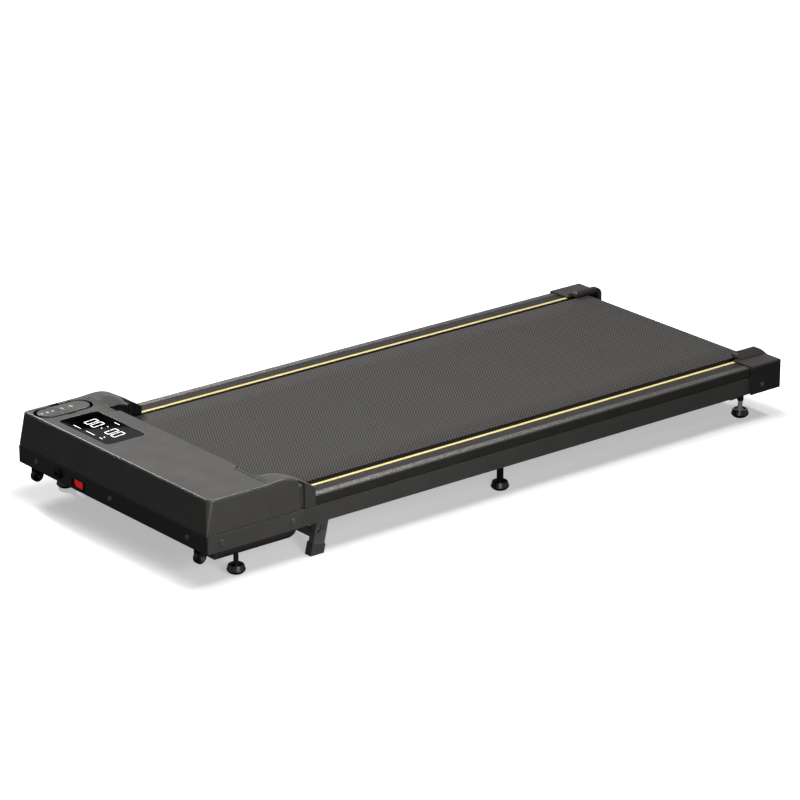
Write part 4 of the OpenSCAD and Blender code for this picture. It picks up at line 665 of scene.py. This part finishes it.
def earBowing(side, inset):
    # what bows an ear's top down towards the opening: swept along the ear, round the corner
    # and up to the slanting step
    c, front = cover["gapCorner"] - inset, cover["flat"] - inset
    cx, cs = cover["gapIn"] + inset - c, front + c
    lean = (cover["gapOut"] - cover["gapIn"]) / (cover["length"] + 30 - cs)
    far = cover["length"] + 12
    runSteps, turnSteps, bowSteps = 14, 8, 10
    over, outside = 14, 1.5   # how far it reaches above the ear and into the opening

    def profile(share):
        # (distance into the plastic, height under the ear's top); share 0 is the opening's front
        ends = zip(cover["frontBow"], cover["earBow"])
        wide, deep = [low + (high - low) * share for low, high in ends]
        curve = [(wide * i / bowSteps, -inset - deep * (1 - i / bowSteps) ** 2)
                 for i in range(bowSteps + 1)]
        return curve + [(wide, over), (-outside, over), (-outside, -inset - deep)]

    rings = []
    for i in range(runSteps + 1):
        s = far + (cs + 6 - far) * i / runSteps
        rings.append([(side * (cx + c + u + lean * (s - cs)), at(s), earTop(s) + up)
                      for u, up in profile(1)])
    for i in range(turnSteps + 1):
        a = math.radians(-90 * i / turnSteps)
        top = earTop(cs + c * math.sin(a))
        rings.append([(side * (cx + (c + u) * math.cos(a)), at(cs + (c + u) * math.sin(a)), top + up)
                      for u, up in profile(1 - i / turnSteps)])
    depth = cover["flat"] - cover["earStart"] + 2
    rings.append([(side * (cover["step"] - inset - cover["stepLean"]
                           * (front - u - cover["earStart"] + 1) / depth),
                   at(front - u), earTop(front) + up) for u, up in profile(0)])
    return loft("bowing", rings)


def coverOpening(inset):
    # plan of the opening over the belt
    r, x = cover["gapCorner"], cover["gapIn"] + inset
    y = at(cover["flat"]) - inset + r
    far = at(cover["length"] + 30)
    return ([(cover["gapOut"] + inset, far), (-cover["gapOut"] - inset, far)]
            + arc(-x + r, y, r, 180, 270, 10) + arc(x - r, y, r, 270, 360, 10))


def coverShell(name, inset):
    block = coverBlock(name, inset)
    beyond = cover["halfWidth"] + 7
    combine(block, [prismX("outline", coverProfile(inset), -beyond, beyond)], "INTERSECT")
    low = cover["gapOut"] + inset
    front, far = at(cover["flat"] - cover["wall"] - 12 + inset), at(cover["length"] + 30)
    cuts = [prism("opening", coverOpening(inset), cover["gapLow"] - (40 if inset else 0), 200),
            prism("under", [(-low, front), (low, front), (low, far), (-low, far)],
                  cover["bottom"] - 9, cover["gapLow"])]
    cuts += [earBowing(side, inset) for side in (-1, 1)]
    if not inset:
        near, step = at(cover["earStart"]) - 1, cover["step"]
        back, rear = at(cover["flat"]) + 1, step - cover["stepLean"]
        cuts.append(prism("flat", [(-step, near), (step, near), (rear, back), (-rear, back)],
                          cover["top"], cover["top"] + 10))
    return combine(block, cuts)


def rimRounding():
    # rounds the top's outer edge: up the right side, round the front corners and back on the left
    up = (cover["top"] - cover["bottom"]) / cover["height"]
    front = cover["front"] + cover["frontDraft"] * up
    rise = (cover["top"] - cover["bottom"]) / (cover["height"] + cover["cornerSpare"])
    runSteps, turnSteps, roundSteps = 20, 8, 6
    over, outside = 9, 5   # how far the cutter reaches above and outside the rim
    path = []   # place, direction outwards, radius

    def addSide(side, half, corner):
        r = cover["cornerBottom"] + (corner - cover["cornerBottom"]) * rise
        far = cover["length"] + 10
        run, turn = [], []
        wide, narrow = cover["sideEdge"], cover["frontEdge"]
        for i in range(runSteps):
            s = far + (front + r - far) * i / (runSteps - 1)
            run.append(((side * half, s), (side, 0), wide))
        for i in range(1, turnSteps + 1):
            a = math.radians(-90 * i / turnSteps)
            n = (side * math.cos(a), math.sin(a))
            turn.append(((side * (half - r) + n[0] * r, front + r + n[1] * r), n,
                         wide + (narrow - wide) * i / turnSteps))
        path.extend((run + turn)[::side])

    addSide(1, cover["halfWidth"] - cover["sideDraft"] * up, cover["cornerTop"])
    addSide(-1, cover["halfWidth"] - cover["leftDraft"] * up, cover["leftCorner"])
    rings = []
    for (x, s), (nx, ns), r in path:
        angles = [math.radians(90 / roundSteps * i) for i in range(roundSteps + 1)]
        section = [(r - r * math.cos(a), r * math.sin(a) - r) for a in angles]
        section += [(r, over), (-outside, over), (-outside, -r)]
        top = earTop(s) if s > cover["earStart"] else cover["top"]
        rings.append([(x - nx * u, at(s - ns * u), top + h) for u, h in section])
    return loft("rim", rings)


def rimmedTool(outline, bottom, rim):
    # a cutter that opens out at the cover's top, which leaves a chamfer round the recess
    top = cover["top"]
    levels = [(bottom, 0), (top - rim, 0), (top, rim), (top + 6, rim + 6)]
    return loft("recess", [[(x, y, z) for x, y in outline(grow)] for z, grow in levels])


def paintShadeBelow(tool, below):
    # the surfaces that this cutter leaves lower than a height are black: painted shade in recesses
    # and holes
    for key in ("cover_plastic", "black_plastic"):
        tool.data.materials.append(finishes[key])
    for face in tool.data.polygons:
        face.material_index = 1 if face.center.z / mm < below else 0
    return tool


def recesses():
    # cutters for the remote's recess, the window, the hole behind it and the finger notches
    rx, ry, wx, wy = remote["x"], at(remote["s"]), window["x"], at(window["s"])
    rw, rl = remote["w"] + 2 * remote["gap"], remote["l"] + 2 * remote["gap"]
    seam, back = window["seam"], window["backEdge"]
    tray = rimmedTool(lambda grow: stadium(rx, ry, rw + 2 * grow, rl + 2 * grow),
                      remote["floor"], remote["rim"])
    pane = rimmedTool(lambda grow: roundRect(wx, wy, window["w"] + 2 * (seam + grow),
                                             window["l"] + 2 * (seam + grow),
                                             window["r"] + seam + grow),
                      window["bottom"], window["rim"])
    hole = prism("back", roundRect(wx, wy, window["w"] - 2 * back, window["l"] - 2 * back,
                                   window["backCorner"]), window["backLow"], window["bottom"] + 2)
    notches = rimmedTool(lambda grow: roundRect(rx, ry, rw + 2 * (notch["reach"] + grow),
                                                notch["length"] + 2 * grow, notch["corner"] + grow),
                         remote["floor"] + notch["floor"], notch["rim"])
    return [tray, pane, hole, notches]


def makeCover():
    shell = coverShell("motor_cover_shell", 0)
    shell.data.materials.append(finishes["cover_plastic"])
    shell.data.materials.append(finishes["black_plastic"])
    combine(shell, [rimRounding(), coverShell("inside", cover["wall"])])
    wall, ledge = cover["tubWall"], cover["ledge"]
    tub = stadium(remote["x"], at(remote["s"]), remote["w"] + 2 * remote["gap"] + 2 * wall,
                  remote["l"] + 2 * remote["gap"] + 2 * wall)
    shelf = roundRect(window["x"], at(window["s"]), window["w"] + 2 * ledge,
                      window["l"] + 2 * ledge, window["r"] + ledge)
    combine(shell, [prism("tub", tub, remote["floor"] - cover["wall"], cover["top"] - 1),
                    prism("ledge", shelf, window["bottom"] - 2, cover["top"] - 0.5)], "UNION")
    # the recesses' floors and walls are black as painted shade
    combine(shell, [paintShadeBelow(cut, cover["top"] - 1) for cut in recesses()])
    holes = []
    sides = cover["ventSides"]
    for side in (-1, 1):
        for row in range(cover["ventRows"]):
            for i in range(cover["vents"]):
                x = side * (cover["ventEdge"] - cover["ventPitch"] * (i + (row % 2) / 2))
                y = at(cover["earStart"] + cover["ventStart"] + cover["ventRowPitch"] * row)
                ring = arc(x, y, cover["ventSize"] / 2, 0, 360 - 360 / sides, sides - 1)
                holes.append(prism("hole", ring, cover["top"] - cover["ventDepth"], cover["top"] + 8))
    # the vents' bores are black as painted shade inside the holes
    combine(shell, [paintShadeBelow(join("holes", holes), cover["top"] - 0.4)])
    smoothShading(shell, 28)
    # the ears' walls over the belt are black as painted shade in the opening
    for face in shell.data.polygons:
        x, s, z = abs(face.center.x) / mm, face.center.y / mm - skirtY, face.center.z / mm
        overBelt = s > cover["flat"] + 1 and z > cover["gapLow"] - 1
        beside = cover["gapIn"] - 16 < x < cover["gapOut"] - 1
        if abs(face.normal.z) < 0.5 and overBelt and beside:
            face.material_index = 1
    fitPiece(shell, "motor_cover")


# walking belt
belt = {"halfWidth": 200.0, "front": 118.0, "rear": 1164.0, "axis": 78.6, "inner": 21.3,
        "outer": 22.9, "ease": 0.4, "arcSteps": 36, "runSteps": 24, "acrossSteps": 8,
        "patternStart": 250}


def makeBelt():
    run = belt["rear"] - belt["front"]
    half = math.pi * belt["outer"]
    arcSteps, runSteps, ease, w = belt["arcSteps"], belt["runSteps"], belt["ease"], belt["halfWidth"]
    path = []   # place along the pad, direction outwards, length of the loop so far
    for i in range(runSteps):
        t = i / runSteps
        path.append((belt["front"] + run * t, 0.0, 1.0, run * t))
    for i in range(arcSteps):
        a = math.pi * i / arcSteps
        path.append((belt["rear"], math.sin(a), math.cos(a), run + half * i / arcSteps))
    for i in range(runSteps):
        t = i / runSteps
        path.append((belt["rear"] - run * t, 0.0, -1.0, run + half + run * t))
    for i in range(arcSteps):
        a = math.pi * (1 + i / arcSteps)
        path.append((belt["front"], math.sin(a), math.cos(a), 2 * run + half + half * i / arcSteps))
    bm = bmesh.new()
    uv = bm.loops.layers.uv.new("run")
    across = belt["acrossSteps"]
    xs = [-w + ease + (2 * w - 2 * ease) * i / across for i in range(across + 1)]
    # cross section: outer face from left to right with eased edges, then the inner face back
    section = ([(-w, belt["outer"] - ease)] + [(x, belt["outer"]) for x in xs]
               + [(w, belt["outer"] - ease), (w, belt["inner"] + ease)]
               + [(x, belt["inner"]) for x in reversed(xs)] + [(-w, belt["inner"] + ease)])
    rings = []
    for s, ny, nz, _ in path:
        rings.append([bm.verts.new(Vector((x, at(s) + ny * r, belt["axis"] + nz * r)) * mm)
                      for x, r in section])
    total = 2 * run + 2 * half
    for i, ring in enumerate(rings):
        after = rings[(i + 1) % len(rings)]
        l0 = path[i][3]
        l1 = path[i + 1][3] if i + 1 < len(path) else total
        for j in range(len(section)):
            k = (j + 1) % len(section)
            face = bm.faces.new((ring[j], ring[k], after[k], after[j]))
            face.smooth = True
            x0, x1 = [section[n][0] + belt["patternStart"] for n in (j, k)]
            for loop, spot in zip(face.loops, ((x0, l0), (x1, l0), (x1, l1), (x0, l1))):
                loop[uv].uv = (spot[0] * mm, spot[1] * mm)
    fitPiece(meshObject("walking_belt_loop", bm), "walking_belt")


# display window with its lit digits; marks are (x, place, width, depth) of plain bars
digits = {"height": 24.5, "width": 12.6, "pitch": 16.6, "pairs": (-136.0, -79.5), "s": 67.0,
          "stroke": 1.8, "slant": 3.3, "gap": 0.35, "spread": 0.2, "sink": 0.1, "lift": 0.05,
          "dots": ((-110.3, 63.3), (-109.8, 74.6)), "dot": 2.6, "dotCorner": 0.8, "markCorner": 0.7}
marks = [(-139.2, 36.4, 20, 1.0), (-103.6, 36.8, 24, 1.0), (-73.8, 36.5, 9, 1.2),
         (-74.5, 43.6, 3.5, 2.0), (-111.4, 93.6, 15, 1.2)]


def makeWindow():
    top = window["top"]
    levels = [(window["bottom"], 0)] + [(top - depth, g) for depth, g in window["edge"]]
    rings = [[(x, y, z) for x, y in roundRect(window["x"], at(window["s"]), window["w"] - 2 * g,
                                              window["l"] - 2 * g, window["r"] - g)]
             for z, g in levels]
    fitPiece(loft("display_window_glass", rings), "display_window")
    parts = []

    def bar(points):
        parts.append(loft("bar", [[(x, at(s), z) for x, s in points]
                                  for z in (top - digits["sink"], top + digits["lift"])]))

    def segment(cx, points):
        # a digit's bar, leaning as it climbs; points count from the digit's middle
        bar([(cx + px - digits["slant"] * ps / digits["height"], digits["s"] + ps)
             for px, ps in points])

    h, w, t, g = digits["height"] / 2, digits["width"] / 2, digits["stroke"], digits["gap"]
    for centre in digits["pairs"]:
        for i in (-0.5, 0.5):
            cx = centre + i * digits["pitch"]
            # six lit segments of a nought, each with pointed ends
            for side in (-1, 1):
                x = side * (w - t / 2)
                for low, high in ((-h + g, -g), (g, h - g)):
                    segment(cx, ((x, low), (x + t / 2, low + t / 2), (x + t / 2, high - t / 2),
                                 (x, high), (x - t / 2, high - t / 2), (x - t / 2, low + t / 2)))
                s = side * (h - t / 2 + digits["spread"])
                segment(cx, ((-w + t / 2 + g, s), (-w + t + g, s - t / 2), (w - t - g, s - t / 2),
                             (w - t / 2 - g, s), (w - t - g, s + t / 2), (-w + t + g, s + t / 2)))
    for x, s in digits["dots"]:
        bar(roundRect(x, s, digits["dot"], digits["dot"], digits["dotCorner"], 3))
    for x, s, wide, deep in marks:
        bar(roundRect(x, s, wide, deep, digits["markCorner"], 3))
    lit = join("display_digits", parts)
    lit.data.materials.append(litDigits)
    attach(lit, "frame")


# remote control and its buttons
def makeRemote():
    x, y, w, l = remote["x"], at(remote["s"]), remote["w"], remote["l"]
    z0, z1, r, foot = remote["bottom"], remote["top"], remote["edge"], remote["foot"]
    rings = [[(px, py, z0) for px, py in stadium(x, y, w - 2 * foot, l - 2 * foot)],
             [(px, py, z0 + foot) for px, py in stadium(x, y, w, l)]]
    for i in range(7):
        a = math.radians(15 * i)
        g = r * (1 - math.cos(a))
        outline = stadium(x, y, w - 2 * g, l - 2 * g)
        rings.append([(px, py, z1 - r + r * math.sin(a)) for px, py in outline])
    body = loft("remote_body", rings)
    low, high = z1 - remote["holeDepth"], z1 + 2
    cuts = [prism("hole", arc(x, y + s, remote["roundHole"], 0, 345, 23), low, high)
            for s in remote["rounds"].values()]
    cuts += [prism("hole", stadium(x, y + s, *remote["ovalHole"], 12), low, high)
             for s in remote["ovals"].values()]
    combine(body, cuts)
    middle = y + remote["grooveAt"]
    groove = prism("groove", stadium(x, middle, *remote["grooveOut"], 24),
                   z1 - remote["grooveDepth"], z1 + 2)
    core = prism("core", stadium(x, middle, *remote["grooveIn"], 24), z1 - 2, z1 + 3)
    combine(body, [combine(groove, [core])])
    smoothShading(body, 26)
    fitPiece(body, "remote_shell")
    z0 = z1 - remote["buttonFoot"]
    for button, s in remote["rounds"].items():
        makeButton("remote_" + button + "_button",
                   lambda g, s=s: arc(x, y + s, remote["round"] - g, 0, 345, 23),
                   z0, z1 + remote["roundRise"], remote["roundDome"])
    wide, deep = remote["oval"]
    for button, s in remote["ovals"].items():
        makeButton("remote_" + button + "_button",
                   lambda g, s=s: stadium(x, y + s, wide - 2 * g, deep - 2 * g, 12),
                   z0, z1 + remote["ovalRise"], remote["ovalDome"])


def makeButton(node, outline, z0, z1, dome):
    # domed cap: the outline shrinks as it climbs
    rise = min(z1 - z0 - remote["capSide"], remote["capRise"])
    rings = [[(x, y, z0) for x, y in outline(0)]]
    for i in range(8):
        a = math.radians(90 * i / 8)
        shrink = dome * (1 - math.cos(a))
        rings.append([(x, y, z1 - rise + rise * math.sin(a)) for x, y in outline(shrink)])
    rings.append([(x, y, z1) for x, y in outline(dome)])
    cap = loft(node.replace("remote_", "") + "_cap", rings)
    for face in cap.data.polygons:
        face.use_smooth = len(face.vertices) == 4
    fitPiece(cap, node)


print("motor cover")
makeCover()
print("belt, display and remote")
makeBelt()
makeWindow()
makeRemote()

# fittings: node, the piece's name, how far its edges are rounded and in how many steps
sideFittings = (("side_frame", "side_channel", 0.9, 3), ("foot_rail", "foot_rail_tread", 0.3, 2),
                ("gold_strip", "gold_trim", 0.45, 3), ("rail_end", "rail_end_moulding", 0.9, 3),
                ("end_cap", "end_cap_moulding", 0.5, 2), ("wheel", "wheel_tyre", 0.5, 2))
fittings = (("front_skirt", "front_skirt_panel", 0.8), ("belly_pan", "belly_pan_tray", 0.5),
            ("wheel_forks", "wheel_fork_plates", 0.4), ("stand_frame", "stand_tubes", 1.2),
            ("stand_caps", "stand_rubber_caps", 0.8), ("stand_brackets", "stand_plates", 0.4),
            ("stand_bolts", "stand_pivot_bolts", 0.5), ("switch_body", "switch_bezel", 0.5),
            ("switch_rocker", "switch_key", 0.5), ("cord_gland", "cord_gland_nut", 0.5),
            ("frame_screws", "frame_screw_heads", 0.5), ("foot_sleeves", "foot_sleeve_tubes", 0.4))
# stud: more than its radius; cupTop: where the stud leaves the cup
foot = {"edge": 0.5, "stud": 4.6, "cupTop": 8}


def makeFittings():
    for side in ("left", "right"):
        made = {node: fromNode(side + "_" + node, side + "_" + name, width, segments)
                for node, name, width, segments in sideFittings}
        inward = 1 if side == "left" else -1
        # the rail ends' inner faces beside the belt are black as painted shade
        secondFinish(made["rail_end"], "black_plastic", lambda face: face.normal.x * inward > 0.5)
        for place in ("front", "middle", "rear"):
            node = place + "_" + side + "_foot"
            cup = fromNode(node, node + "_cup", foot["edge"])
            if place == "rear":
                # the rear feet's studs are bright
                middle = sum((Vector(c) for c in cup.bound_box), Vector()) / 8
                secondFinish(cup, "zinc_steel", lambda face: face.center.z > foot["cupTop"] * mm
                             and (face.center.xy - middle.xy).length < foot["stud"] * mm)
    for node, name, width in fittings:
        fromNode(node, name, width)


print("frame and fittings")
makeFittings()

bpy.context.view_layer.update()
